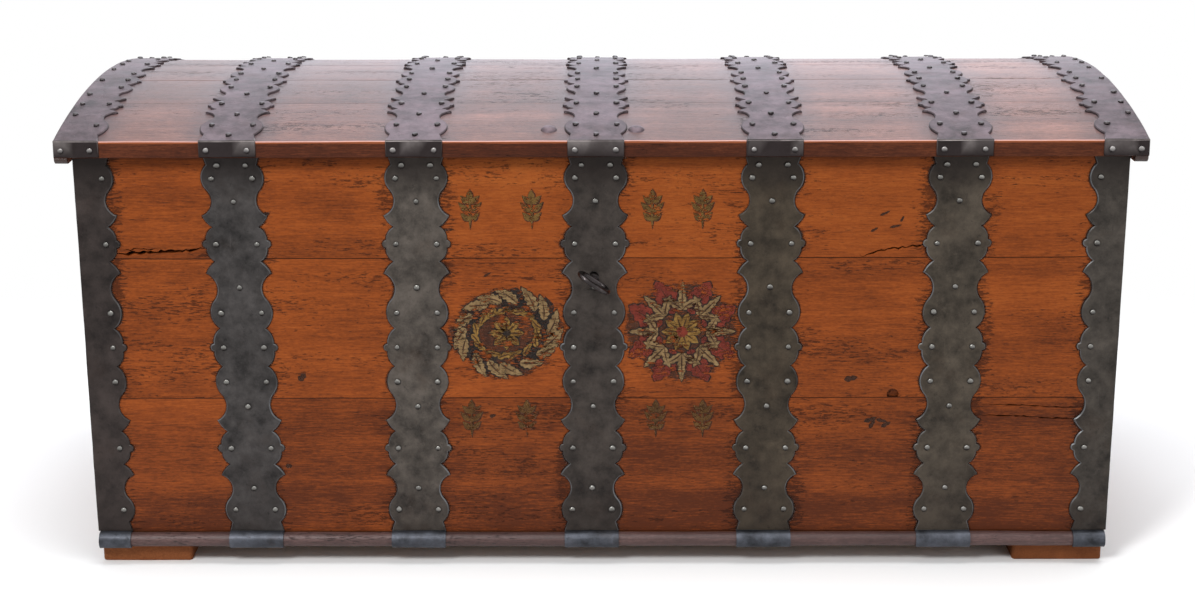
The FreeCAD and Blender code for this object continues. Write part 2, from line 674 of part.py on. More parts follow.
def lid_boards():
    """Return the lid's boards, each a stretch of the arch, by name."""
    cuts = [Y_LID] + [Y_LID + joint for joint in LID_JOINTS] + [Y_BACK]
    parts = {}
    for number, (near, far) in enumerate(zip(cuts, cuts[1:])):
        middle = (near + far) / 2

        def at(y, radius):
            return Vector(-X_LID, y, arch_z(y, radius))

        outline = [arc(at(near, ARCH_RADIUS), at(middle, ARCH_RADIUS), at(far, ARCH_RADIUS)),
                   line(at(far, ARCH_RADIUS), at(far, LID_OUTSIDE)),
                   arc(at(far, LID_OUTSIDE), at(middle, LID_OUTSIDE), at(near, LID_OUTSIDE)),
                   line(at(near, LID_OUTSIDE), at(near, ARCH_RADIUS))]
        parts["lid_board_%d" % (number + 1)] = prism(outline, Vector(LID_WIDTH, 0, 0))
    return parts


def lid_battens():
    """Return the two battens that hang outside the ends of the body."""
    inside = arch(ARCH_RADIUS, X_LID + 1)
    parts = {}
    for name, low in (("left", -X_LID), ("right", X_LID - BATTEN_THICK)):
        bar = box(Vector(low, Y_LID, LID_EDGE_Z - BATTEN_DROP),
                  Vector(low + BATTEN_THICK, Y_BACK, LID_EDGE_Z + LID_RISE))
        lower = [e for e in bar.Edges if e.BoundBox.ZMax < LID_EDGE_Z and e.BoundBox.XLength > 1]
        parts["lid_batten_" + name] = bar.makeFillet(BATTEN_ROUND, lower).common(inside)
    return parts


def lid_strap(number):
    """Return one lid strap with its bent ends, and the places of its nails.

    Straps 0 and 6 lie along the ends of the lid and are scalloped on one side.
    """
    runs = scallops(LID_FEATURES)
    first, last = runs[0][0], runs[-1][-1]
    side = {0: -1, 6: 1}.get(number, 0)
    x = side * (X_LID - LID_END_AXIS) if side else STRAP_X[number - 1]
    floor = LID_EDGE_Z - BATTEN_DROP

    def right(s, w):
        return Vector(X_LID if side > 0 else x + w, Y_LID + s, floor)

    def left(s, w):
        return Vector(-X_LID if side < 0 else x - w, Y_LID + s, floor)

    if side:
        inner, outer = (right, left) if side < 0 else (left, right)
        rest = [inner(*last), outer(*last), outer(*first), inner(*first)]
        outline = edges_of(runs, inner) + polygon(rest)[:3]
    else:
        outline = band(runs, right, left)
    sheet = arch(STRAP_OUTSIDE, X_LID + 1).cut(arch(LID_OUTSIDE, X_LID + 2))
    strap = prism(outline, Vector(0, 0, 3 * LID_RISE)).common(sheet)
    low, high = left(*first).x, right(*first).x
    edge_top = arch_z(Y_LID, STRAP_OUTSIDE)
    for near, far in ((Y_LID - IRON, Y_LID), (Y_BACK, Y_BACK + IRON)):
        strap = strap.fuse(box(Vector(low, near, LID_EDGE_Z + 1), Vector(high, far, edge_top)))
    if number - 1 in HINGE_STRAPS:
        strap = with_knuckle(strap, x)
    nails = lid_nail_places(side, x)
    tab_z = LID_EDGE_Z + LID_THICK / 2
    nails += [(Vector(tab_x, Y_LID - IRON, tab_z), Vector(0, -1, 0))
              for tab_x in (low + TAB_NAIL_INSET, high - TAB_NAIL_INSET)]
    return punched(strap.removeSplitter(), nails, 2 * IRON), nails


def with_knuckle(strap, x):
    """Return a lid strap with a leaf and a knuckle at its back end."""
    low, high = x - LID_KNUCKLE_HALF, x + LID_KNUCKLE_HALF
    leaf = box(Vector(low, Y_BACK + PLAY, HINGE_Z), Vector(high, Y_BACK + IRON, LID_EDGE_Z + 1))
    bore = PIN + RUNNING_FIT
    return strap.fuse(leaf).fuse(knuckle(low, high, bore)).cut(hinge_bore(low, high, bore))


def lid_nail_places(side, x):
    """Return the nail places on top of a lid strap, with the arch's directions."""
    if side:
        rows = [(s, side * (END_NAIL_OUT if kind == WAIST else -END_NAIL_IN)) for kind, s in LID_RUN]
        rows += [(s, side * END_NAIL_OUT) for kind, s in LID_RUN if kind == LOBE]
    else:
        rows = nail_rows(LID_FEATURES) + [(EDGE_NAIL_BACK, 0.0)]
    places = []
    for s, off in rows:
        y = Y_LID + s
        places.append((Vector(x + off, y, arch_z(y, STRAP_OUTSIDE)), arch_normal(y, STRAP_OUTSIDE)))
    return places


def staple_frame():
    """Return the placement of the staple's plate, let into the underside of the lid."""
    y = Y_FRONT + STAPLE_PLATE[1] / 2 + 2
    normal = arch_normal(y, ARCH_RADIUS)
    under = Vector(0, y, arch_z(y, ARCH_RADIUS)) + normal * PLAY
    return FreeCAD.Placement(under, FreeCAD.Rotation(Vector(0, 0, 1), normal))


def staple_plate():
    """Return the plate of the staple where it lies in the lid."""
    wide, deep, thick = STAPLE_PLATE
    mid_x = sum(STAPLE_BOLT_X) / 2
    plate = Part.makeBox(wide, deep, thick, Vector(mid_x - wide / 2, -deep / 2, 0))
    plate.Placement = staple_frame()
    return plate


def staple_bolts():
    """Return the two bolts with broad domed heads that hold the staple."""
    y = Y_LID + STAPLE_BOLT_BACK
    out = arch_normal(y, LID_OUTSIDE)
    head, crown = STAPLE_BOLT_HEAD
    pattern = nail(LID_THICK - PLAY, head, crown, STAPLE_BOLT_SHANK)
    return [driven(pattern, Vector(x, y, arch_z(y, LID_OUTSIDE)), out) for x in STAPLE_BOLT_X]


def staple():
    """Return the staple: a plate with a tongue that the bolt passes through."""
    half_y = STAPLE_WIDTH / 2
    low = Vector(STAPLE_X - STAPLE_THICK / 2, BOLT_Y - half_y, STAPLE_EYE_Z - BOLT_BAR / 2 - 10)
    high = Vector(STAPLE_X + STAPLE_THICK / 2, BOLT_Y + half_y, LID_EDGE_Z + LID_THICK)
    tongue = box(low, high).common(arch(ARCH_RADIUS + 2 * PLAY, X_LID))
    eye_half = BOLT_BAR / 2 + 2
    eye = box(Vector(low.x, BOLT_Y - BOLT_THICK / 2 - 1.5, STAPLE_EYE_Z - eye_half),
              Vector(high.x, BOLT_Y + BOLT_THICK / 2 + 1.5, STAPLE_EYE_Z + eye_half))
    return staple_plate().fuse(tongue.cut(eye)).removeSplitter()


def lid():
    """Return all the pieces of the lid by name."""
    parts = lid_boards()
    parts.update(lid_battens())
    hardware = staple()
    bolts = Part.makeCompound(staple_bolts())
    parts["lid_board_1"] = parts["lid_board_1"].cut(hardware).cut(bolts)
    parts["lock_staple"] = hardware.cut(bolts)
    parts["staple_bolts"] = bolts
    nails = []
    for number in range(len(STRAP_X) + 2):
        parts["lid_strap_%d" % (number + 1)], own = lid_strap(number)
        nails += own
    parts["lid_nails"] = Part.makeCompound(drive_all(nails, IRON + NAIL_IN_LID))
    return parts


def chest():
    """Return every piece of the chest by name."""
    parts = walls()
    parts.update(floor_and_runners())
    parts.update(moulding_and_clips())
    straps, front = front_straps()
    corners, corner_front, others = corner_straps()
    hinges, back = hinge_straps()
    grips, grip_nails = handles()
    lock, lock_nails = lock_body()
    for group in (straps, corners, hinges, grips, lock, lid()):
        parts.update(group)
    depth = IRON + NAIL_IN_WALL
    parts["front_nails"] = Part.makeCompound(drive_all(front + corner_front, depth))
    parts["back_and_end_nails"] = Part.makeCompound(drive_all(others + back + grip_nails, depth))
    parts["lock_nails"] = Part.makeCompound(drive_all(lock_nails, IRON + NAIL_IN_LOCK))
    parts["key"] = key()
    parts["lock_bolt"] = lock_bolt()
    return parts


def main():
    """Write one STEP file per piece."""
    os.makedirs("parts", exist_ok=True)
    for name, shape in chest().items():
        shape.exportStep("parts/%s.step" % name)
        print("%-28s solids %3d  volume %12.1f  valid %s"
              % (name, len(shape.Solids), shape.Volume, shape.isValid()))


main()
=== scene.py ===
"""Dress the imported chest: worn planks, forged straps, nails, lock, key and painted roundels.

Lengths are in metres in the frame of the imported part: +X to the right, -Y out of the
front, +Z up, with the origin on the floor under the middle of the chest.
"""
import logging
import math
import random
from dataclasses import dataclass, field
from enum import Enum
from typing import Callable, Iterable, Sequence, TypeAlias

import bpy
import numpy as np
from mathutils import Matrix, Vector, noise


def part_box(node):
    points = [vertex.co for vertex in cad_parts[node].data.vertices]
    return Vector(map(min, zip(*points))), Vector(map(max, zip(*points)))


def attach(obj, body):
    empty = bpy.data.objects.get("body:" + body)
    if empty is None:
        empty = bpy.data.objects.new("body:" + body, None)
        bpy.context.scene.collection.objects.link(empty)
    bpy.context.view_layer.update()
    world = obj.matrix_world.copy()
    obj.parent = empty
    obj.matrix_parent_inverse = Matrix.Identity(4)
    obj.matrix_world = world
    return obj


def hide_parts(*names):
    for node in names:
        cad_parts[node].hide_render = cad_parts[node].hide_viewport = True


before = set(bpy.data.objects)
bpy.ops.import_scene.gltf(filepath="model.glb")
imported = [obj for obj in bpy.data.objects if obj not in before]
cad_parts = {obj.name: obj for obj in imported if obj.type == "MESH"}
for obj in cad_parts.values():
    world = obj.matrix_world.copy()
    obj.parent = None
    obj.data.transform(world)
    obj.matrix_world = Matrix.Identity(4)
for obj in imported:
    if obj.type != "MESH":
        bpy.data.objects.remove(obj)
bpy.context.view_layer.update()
LOG = logging.getLogger("chest")

Colour: TypeAlias = tuple[float, float, float]
Value: TypeAlias = "float | Socket"
VertexValue: TypeAlias = Callable[[bpy.types.MeshVertex], float]

MM = 0.001
UP = Vector((0, 0, 1))
FRONT_OUT = Vector((0, -1, 0))

# Faces that meet below the first angle are made one, and edges from the second on are rounded
FLAT_ANGLE = math.radians(1)
EDGE_ANGLE = math.radians(40)


class Body(Enum):
    """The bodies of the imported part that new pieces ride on."""

    CHEST = "chest"
    LID = "lid"


# Shader kit

class Socket:
    """A shader value that takes part in Python arithmetic."""

    def __init__(self, shader: "Shader", socket: bpy.types.NodeSocket) -> None:
        """Wrap an output socket of a shader."""
        self.shader = shader
        self.socket = socket

    def _math(self, operation: str, *values: Value) -> "Socket":
        """Return the result of a Math node."""
        return self.shader.node("ShaderNodeMath", {"operation": operation}, dict(enumerate(values)))

    def __add__(self, other: Value) -> "Socket":
        """Return self + other."""
        return self._math("ADD", self, other)

    def __sub__(self, other: Value) -> "Socket":
        """Return self - other."""
        return self._math("SUBTRACT", self, other)

    def __rsub__(self, other: Value) -> "Socket":
        """Return other - self."""
        return self._math("SUBTRACT", other, self)

    def __mul__(self, other: Value) -> "Socket":
        """Return self * other."""
        return self._math("MULTIPLY", self, other)

    __radd__ = __add__
    __rmul__ = __mul__

    def __abs__(self) -> "Socket":
        """Return the size of self."""
        return self._math("ABSOLUTE", self)

    def most(self, other: Value) -> "Socket":
        """Return the larger of the two."""
        return self._math("MAXIMUM", self, other)

    def step(self, low: float, high: float) -> "Socket":
        """Return a smooth step over this value.

        Args:
            low: where the step is 0.
            high: where it is 1; it may be the smaller one.

        Returns:
            The step.
        """
        settings = {"interpolation_type": "SMOOTHSTEP"}
        if low < high:
            return self.shader.node("ShaderNodeMapRange", settings, {0: self, 1: low, 2: high})
        return 1 - self.shader.node("ShaderNodeMapRange", settings, {0: self, 1: high, 2: low})


class Shader:
    """A material under construction, with one method for any node."""

    def __init__(self, name: str) -> None:
        """Start a material with a single surface shader.

        Args:
            name: the material's name.
        """
        self.material = bpy.data.materials.new(name)
        self.material.use_nodes = True
        self.tree = self.material.node_tree
        self.surface = next(n for n in self.tree.nodes if n.type == "BSDF_PRINCIPLED")
        self.place = self.node("ShaderNodeTexCoord", output="Object")

    def node(self, kind: str, settings: dict | None = None, inputs: dict | None = None,
             output: str | int = 0) -> Socket:
        """Add a node of any kind.

        Args:
            kind: the node's type.
            settings: its properties, and under "stops" the positions and colours of a ramp.
            inputs: values or links by socket name or number.
            output: the socket that is returned.

        Returns:
            The wrapped output socket.
        """
        made = self.tree.nodes.new(kind)
        for key, value in (settings or {}).items():
            if key == "stops":
                self._set_ramp(made.color_ramp, value)
            else:
                setattr(made, key, value)
        for key, value in (inputs or {}).items():
            self.feed(made.inputs[key], value)
        return Socket(self, made.outputs[output])

    @staticmethod
    def _set_ramp(ramp: bpy.types.ColorRamp, stops: Sequence[tuple[float, Colour]]) -> None:
        """Give a colour ramp its stops.

        Args:
            ramp: the ramp.
            stops: positions and colours, from low to high.
        """
        while len(ramp.elements) < len(stops):
            ramp.elements.new(0.5)
        for element, (position, colour) in zip(ramp.elements, stops):
            element.position = position
            element.color = (*colour, 1)

    def feed(self, target: bpy.types.NodeSocket, value: object) -> None:
        """Link a wrapped socket to a target, or set a plain value on it.

        Args:
            target: the input socket.
            value: the socket, number, vector or colour for it.
        """
        if isinstance(value, Socket):
            self.tree.links.new(value.socket, target)
        elif isinstance(value, tuple) and target.type == "RGBA":
            target.default_value = (*value, 1)
        else:
            target.default_value = value

    def noise(self, scale: tuple[float, float, float] | float, detail: float = 3, rough: float = 0.55,
              seed: Value = 0.0, bend: float = 0.0) -> Socket:
        """Return cloudy noise of 0 to 1.

        Args:
            scale: how many waves there are to a metre, for each axis or for all.
            detail: how many finer octaves it has.
            rough: how strong these are.
            seed: its place in the fourth direction.
            bend: how far it is twisted.

        Returns:
            The noise.
        """
        stretched = scale if isinstance(scale, tuple) else (scale, scale, scale)
        at = self.node("ShaderNodeMapping", None, {"Vector": self.place, "Scale": stretched})
        return self.node("ShaderNodeTexNoise", {"noise_dimensions": "4D"},
                         {"Vector": at, "W": seed, "Scale": 1.0, "Detail": detail, "Roughness": rough,
                          "Distortion": bend})

    def attribute(self, name: str) -> Socket:
        """Return a number that the mesh carries."""
        return self.node("ShaderNodeAttribute", {"attribute_name": name}, output="Fac")

    def axes(self) -> tuple[Socket, Socket, Socket]:
        """Return the three coordinates of the surface point."""
        split = self.node("ShaderNodeSeparateXYZ", None, {0: self.place})
        return tuple(Socket(self, out) for out in split.socket.node.outputs)

    def ramp(self, value: Socket, stops: Sequence[tuple[float, Colour]]) -> Socket:
        """Return the colour of a ramp at a value."""
        return self.node("ShaderNodeValToRGB", {"stops": stops}, {0: value})

    def mix(self, share: Value, first: "Colour | Socket", second: "Colour | Socket") -> Socket:
        """Return a colour that goes from the first to the second by a share."""
        return self.node("ShaderNodeMix", {"data_type": "RGBA"}, {0: share, 6: first, 7: second}, 2)

    def bump(self, height: Socket, depth: float, strength: float = 1.0) -> Socket:
        """Return a normal that follows a height of 0 to 1 over a depth in metres."""
        inputs = {"Height": height, "Distance": depth, "Strength": strength}
        return self.node("ShaderNodeBump", None, inputs)

    def finish(self, **sockets: object) -> bpy.types.Material:
        """Set the surface shader's sockets.

        Args:
            sockets: values or links by socket name, with _ for spaces.

        Returns:
            The finished material.
        """
        for name, value in sockets.items():
            self.feed(self.surface.inputs[name.replace("_", " ")], value)
        return self.material


# Modelling kit

def put(name: str, data: bpy.types.ID) -> bpy.types.Object:
    """Add an object with the given data to the scene.

    Args:
        name: its name.
        data: its mesh, lamp or camera.

    Returns:
        The object, at the origin.
    """
    made = bpy.data.objects.new(name, data)
    bpy.context.scene.collection.objects.link(made)
    return made


def primitive(kind: str, **settings: object) -> bpy.types.Object:
    """Add a primitive to start a piece from, with nothing else selected.

    Args:
        kind: the shape, as in the operator's name.
        settings: the operator's own values.

    Returns:
        The new object.
    """
    bpy.ops.object.select_all(action="DESELECT")
    getattr(bpy.ops.mesh, "primitive_%s_add" % kind)(**settings)
    return bpy.context.object


def only(piece: bpy.types.Object) -> None:
    """Make a piece the active and only selected one.

    Args:
        piece: the piece.
    """
    bpy.ops.object.select_all(action="DESELECT")
    bpy.context.view_layer.objects.active = piece
    piece.select_set(True)


def edit(piece: bpy.types.Object, mode: str = "FACE") -> None:
    """Open a piece in edit mode with nothing selected.

    Args:
        piece: the piece.
        mode: FACE or VERT, for what is then selected.
    """
    only(piece)
    bpy.ops.object.mode_set(mode="EDIT")
    bpy.ops.mesh.select_mode(type=mode)
    bpy.ops.mesh.select_all(action="DESELECT")


def pick(piece: bpy.types.Object, mode: str, test: Callable[[object], bool]) -> int:
    """Select the faces or vertices of a piece that pass a test, and return to edit mode.

    Args:
        piece: the piece, in edit mode.
        mode: FACE or VERT.
        test: the test on a mesh element.

    Returns:
        How many passed.
    """
    bpy.ops.mesh.select_mode(type=mode)
    bpy.ops.mesh.select_all(action="DESELECT")
    bpy.ops.object.mode_set(mode="OBJECT")
    elements = piece.data.polygons if mode == "FACE" else piece.data.vertices
    chosen = [element.index for element in elements if test(element)]
    for index in chosen:
        elements[index].select = True
    bpy.ops.object.mode_set(mode="EDIT")
    return len(chosen)


def object_mode() -> None:
    """Leave edit mode."""
    bpy.ops.object.mode_set(mode="OBJECT")


def copy_of(node: str, name: str) -> bpy.types.Object:
    """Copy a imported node, merge its corners and make its flat faces whole.

    Args:
        node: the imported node.
        name: the copy's name.

    Returns:
        The copy, without a material.
    """
    piece = put(name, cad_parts[node].data.copy())
    piece.data.materials.clear()
    edit(piece)
    bpy.ops.mesh.customdata_custom_splitnormals_clear()
    bpy.ops.mesh.select_all(action="SELECT")
    bpy.ops.mesh.remove_doubles(threshold=0.002 * MM)
    bpy.ops.mesh.dissolve_limited(angle_limit=FLAT_ANGLE)
    object_mode()
    return piece


def cut_across(piece: bpy.types.Object, axis: int, pitch: float) -> None:
    """Cut a piece by planes across an axis, so that it can be shaped between them.

    Args:
        piece: the piece.
        axis: 0, 1 or 2 for x, y or z.
        pitch: how far apart the planes are, about.
    """
    edit(piece, "VERT")
    places = [v.co[axis] for v in piece.data.vertices]
    low, high = min(places), max(places)
    normal = Vector((axis == 0, axis == 1, axis == 2))
    count = max(1, round((high - low) / pitch))
    for number in range(1, count):
        bpy.ops.mesh.select_all(action="SELECT")
        bpy.ops.mesh.bisect(plane_co=normal * (low + (high - low) * number / count), plane_no=normal)
    object_mode()


def modify(piece: bpy.types.Object, kind: str, **settings: object) -> None:
    """Add a modifier and apply it.

    Args:
        piece: the piece.
        kind: the modifier's type.
        settings: its values.
    """
    only(piece)
    modifier = piece.modifiers.new(kind.lower(), kind)
    for key, value in settings.items():
        setattr(modifier, key, value)
    bpy.ops.object.modifier_apply(modifier=modifier.name)


def roughen(piece: bpy.types.Object, size: float, depth: float) -> None:
    """Push a piece's surface about by a cloudy pattern.

    Args:
        piece: the piece.
        size: the pattern's size.
        depth: how far the surface moves in all.
    """
    name = "clouds_%g" % size
    texture = bpy.data.textures.get(name) or bpy.data.textures.new(name, "CLOUDS")
    texture.noise_scale = size
    texture.noise_depth = 2
    modify(piece, "DISPLACE", texture=texture, texture_coords="LOCAL", direction="RGB_TO_XYZ",
           strength=depth, mid_level=0.5)


def smooth(piece: bpy.types.Object, angle: float) -> None:
    """Shade a piece smooth, with flat faces kept flat.

    Args:
        piece: the piece.
        angle: edges that turn by less degrees than this are smooth.
    """
    only(piece)
    bpy.ops.object.shade_smooth_by_angle(angle=math.radians(angle))
    modify(piece, "WEIGHTED_NORMAL", keep_sharp=True, weight=80)


def stamp(piece: bpy.types.Object, name: str, value: float) -> None:
    """Store one number on all of a piece's points for its material to read.

    Args:
        piece: the piece.
        name: the number's name.
        value: the number.
    """
    layer = piece.data.attributes.get(name) or piece.data.attributes.new(name, "FLOAT", "POINT")
    layer.data.foreach_set("value", [value] * len(piece.data.vertices))


def shade(piece: bpy.types.Object, name: str, value: VertexValue) -> None:
    """Store a number on each of a piece's points for its material to read.

    Args:
        piece: the piece.
        name: the number's name.
        value: works it out from a point.
    """
    stamp(piece, name, 0.0)
    piece.data.attributes[name].data.foreach_set("value", [value(v) for v in piece.data.vertices])


def join(pieces: Sequence[bpy.types.Object], name: str) -> bpy.types.Object:
    """Join pieces into one.

    Args:
        pieces: the pieces, which are used up.
        name: the name of the whole.

    Returns:
        The joined piece.
    """
    bpy.ops.object.select_all(action="DESELECT")
    for piece in pieces:
        piece.select_set(True)
    bpy.context.view_layer.objects.active = pieces[0]
    if len(pieces) > 1:
        bpy.ops.object.join()
    pieces[0].name = pieces[0].data.name = name
    return pieces[0]


def settle(piece: bpy.types.Object, body: Body, slot: str, material: bpy.types.Material,
           *nodes: str) -> bpy.types.Object:
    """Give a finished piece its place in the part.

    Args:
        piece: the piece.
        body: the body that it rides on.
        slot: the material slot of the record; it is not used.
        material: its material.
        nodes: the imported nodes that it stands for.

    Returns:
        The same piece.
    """
    piece.data.materials.clear()
    piece.data.materials.append(material)
    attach(piece, body.value)
    if nodes:
        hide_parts(*nodes)
    LOG.info("%s: %d faces on %s", piece.name, len(piece.data.polygons), body.value)
    return piece


def dress(node: str, material: bpy.types.Material) -> None:
    """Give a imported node, kept as it is, a better material.

    Args:
        node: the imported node.
        material: its material.
    """
    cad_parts[node].material_slots[0].material = material
    LOG.info("%s: dressed", node)


# Finishes

@dataclass(frozen=True)
class StrapLine:
    """The middle line of a strap, seen from the front or from above."""

    top: float
    foot: float
    half: float
    low: float = 0.0
    high: float = 1.0

    @classmethod
    def of(cls, node: str) -> "StrapLine":
        """Measure the line of an upright strap.

        Args:
            node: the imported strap.

        Returns:
            Its middle line.
        """
        low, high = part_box(node)
        points = [v.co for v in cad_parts[node].data.vertices]
        ends = []
        for level in (high.z, low.z):
            row = [p.x for p in points if abs(p.z - level) < MM]
            ends.append((min(row) + max(row)) / 2)
        return cls(ends[0], ends[1], (high.x - low.x - abs(ends[0] - ends[1])) / 2, low.z, high.z)

    def distance(self, x: Socket, z: Socket) -> Socket:
        """Return how far a point at x and z lies from the middle line, to either side."""
        lean = (self.top - self.foot) / (self.high - self.low)
        return abs(x - (z - self.low) * lean - self.foot)


class Grain(Enum):
    """The way that the grain of a board runs."""

    ALONG_X = 0
    ALONG_Y = 1

    def scale(self, length: float, width: float) -> tuple[float, float, float]:
        """Return a noise scale for figure of a given length along the grain and width across it."""
        return tuple(1 / (length if axis == self.value else width) for axis in range(3))


@dataclass(frozen=True)
class WoodFinish:
    """Old waxed wood with streaks, flecks, blotches and iron stains beside the straps, and where asked a
    light arris of rubbed wear and painted highlight, and a painted shadow below the lid.
    """

    name: str
    dark: Colour
    middle: Colour
    light: Colour
    grain: Grain = Grain.ALONG_X
    gloss: float = 0.46
    shine: float = 0.25
    lines: tuple[StrapLine, ...] = ()
    stain: float = 1.0
    stain_reach: float = 34 * MM
    stain_under: float = 8 * MM
    specks: float = 0.9
    bare_box: tuple[Colour, Colour] | None = None
    bare_dark: Colour = (0.16, 0.085, 0.040)
    bare_light: Colour = (0.34, 0.205, 0.105)
    arris: tuple[float, float] | None = None
    wash: Colour | None = None
    wash_reach: float = 48 * MM
    wash_under: float = 20 * MM
    # A line of painted shadow below the lid's edge: its height, soft half width and strength
    lid_shadow_line: float | None = None
    lid_shadow_edge: float = 3 * MM
    lid_shadow_strength: float = 0.5
    relief: float = 0.6 * MM

    def material(self) -> bpy.types.Material:
        """Build the finish.

        Returns:
            The material.
        """
        s = Shader(self.name)
        x, y, z = s.axes()
        seed = s.attribute("seed")
        broad = s.noise(self.grain.scale(0.7, 0.050), 4, 0.6, seed, 0.6)
        fine = s.noise(self.grain.scale(0.030, 0.0019), 5, 0.68, seed)
        speckle = s.noise(self.grain.scale(0.0055, 0.0017), 3, 0.6, seed + 2.3)
        blotch = s.noise(7.0, 5, 0.65, seed + 3.1)
        tone = broad * 0.36 + fine * 0.44 + speckle * 0.26 + blotch * 0.34 + s.attribute("tone") * 0.12
        colour = s.ramp(tone, ((0.50, self.dark), (0.70, self.middle), (0.92, self.light)))
        if self.wash:
            near = self._near_iron(x, z, self.wash_reach, self.wash_under)
            patches = s.noise(11.0, 4, 0.6, seed + 6.1).step(0.30, 0.66) * 0.45 + 0.55
            colour = s.mix(near * patches * s.attribute("outside") * 0.9, colour, self.wash)
        marks = self._marks(s, x, z, seed)
        colour = s.mix(marks, colour, tuple(0.22 * c for c in self.dark))
        # Dirt in the splits, and from the lid's shadow line upwards a painted shadow
        dirt_and_shade = s.attribute("grime") * 0.9
        if self.lid_shadow_line:
            below = z.step(self.lid_shadow_line - self.lid_shadow_edge, self.lid_shadow_line + self.lid_shadow_edge)
            dirt_and_shade = dirt_and_shade.most(below * self.lid_shadow_strength)
        colour = s.mix(dirt_and_shade, colour, tuple(0.20 * c for c in self.dark))
        # A light broken line along the arris: rubbed wear and a painted highlight
        if self.arris:
            near = abs(y - self.arris[0]).most(abs(z - self.arris[1])).step(4.5 * MM, 0.5 * MM)
            rubbed = (near + s.noise(self.grain.scale(0.09, 0.02), 4, 0.6, 4.4) * 1.1 - 0.95).step(0.0, 0.4)
            colour = s.mix(rubbed, colour, tuple(min(1.0, 1.6 * c) for c in self.light))
        if self.bare_box:
            colour = self._bare_inside(s, colour, fine)
        rough = self.gloss + fine * 0.18 + marks * 0.2 - 0.09
        height = fine * 0.6 + broad * 0.2 - marks * 0.7
        return s.finish(Base_Color=colour, Roughness=rough, Specular_IOR_Level=self.shine,
                        Normal=s.bump(height, self.relief))

    def _marks(self, s: Shader, x: Socket, z: Socket, seed: Socket) -> Socket:
        """Draw dark pores, flecks and blots, which crowd together beside the iron.

        Args:
            s: the shader.
            x: the place across the front or lid.
            z: the height.
            seed: the board's own number.

        Returns:
            How much of them shows.
        """
        crowd = s.noise(self.grain.scale(0.35, 0.05), 3, 0.6, seed + 7.7).step(0.36, 0.70)
        if self.lines:
            patches = s.noise(7.0, 2, 0.5, seed + 17.0).step(0.35, 0.65) + 0.35
            near = self._near_iron(x, z, self.stain_reach, self.stain_under)
            crowd = crowd.most(near * patches * self.stain)
        pores = s.noise(self.grain.scale(0.012, 0.0011), 2, 0.5, seed + 1.3).step(0.58, 0.72)
        flecks = s.noise(self.grain.scale(0.012, 0.0022), 4, 0.66, seed + 5.2)
        blots = s.noise(self.grain.scale(0.012, 0.0060), 5, 0.70, seed + 8.6)
        flecks = (flecks + crowd * 0.20).step(0.695, 0.77)
        blots = (blots + crowd * 0.20).step(0.765, 0.845)
        return (pores * 0.30).most(flecks * 0.78).most(blots * 0.85) * self.specks

    def _near_iron(self, x: Socket, z: Socket, reach: float, under: float) -> Socket:
        """Tell how close the wood is to a strap.

        Args:
            x: the place across the front or lid.
            z: the height.
            reach: how far outside the strap's edge it is 0.
            under: how far inside the edge it is 1.

        Returns:
            The closeness, from 0 to 1.
        """
        nearest = None
        for line in self.lines:
            near = line.distance(x, z).step(line.half + reach, line.half - under)
            nearest = near if nearest is None else nearest.most(near)
        return nearest

    def _bare_inside(self, s: Shader, colour: Socket, fine: Socket) -> Socket:
        """Lay plain unwaxed wood on the inside of the chest.

        Args:
            s: the shader.
            colour: the colour outside.
            fine: the fine grain.

        Returns:
            The colour all over.
        """
        low, high = self.bare_box
        inside = None
        for axis, value in enumerate(s.axes()):
            middle, half = (low[axis] + high[axis]) / 2, (high[axis] - low[axis]) / 2
            within = abs(value - middle).step(half + 0.5 * MM, half - 0.5 * MM)
            inside = within if inside is None else inside * within
        bare = s.ramp(fine, ((0.3, self.bare_dark), (0.7, self.bare_light)))
        return s.mix(inside, colour, bare)


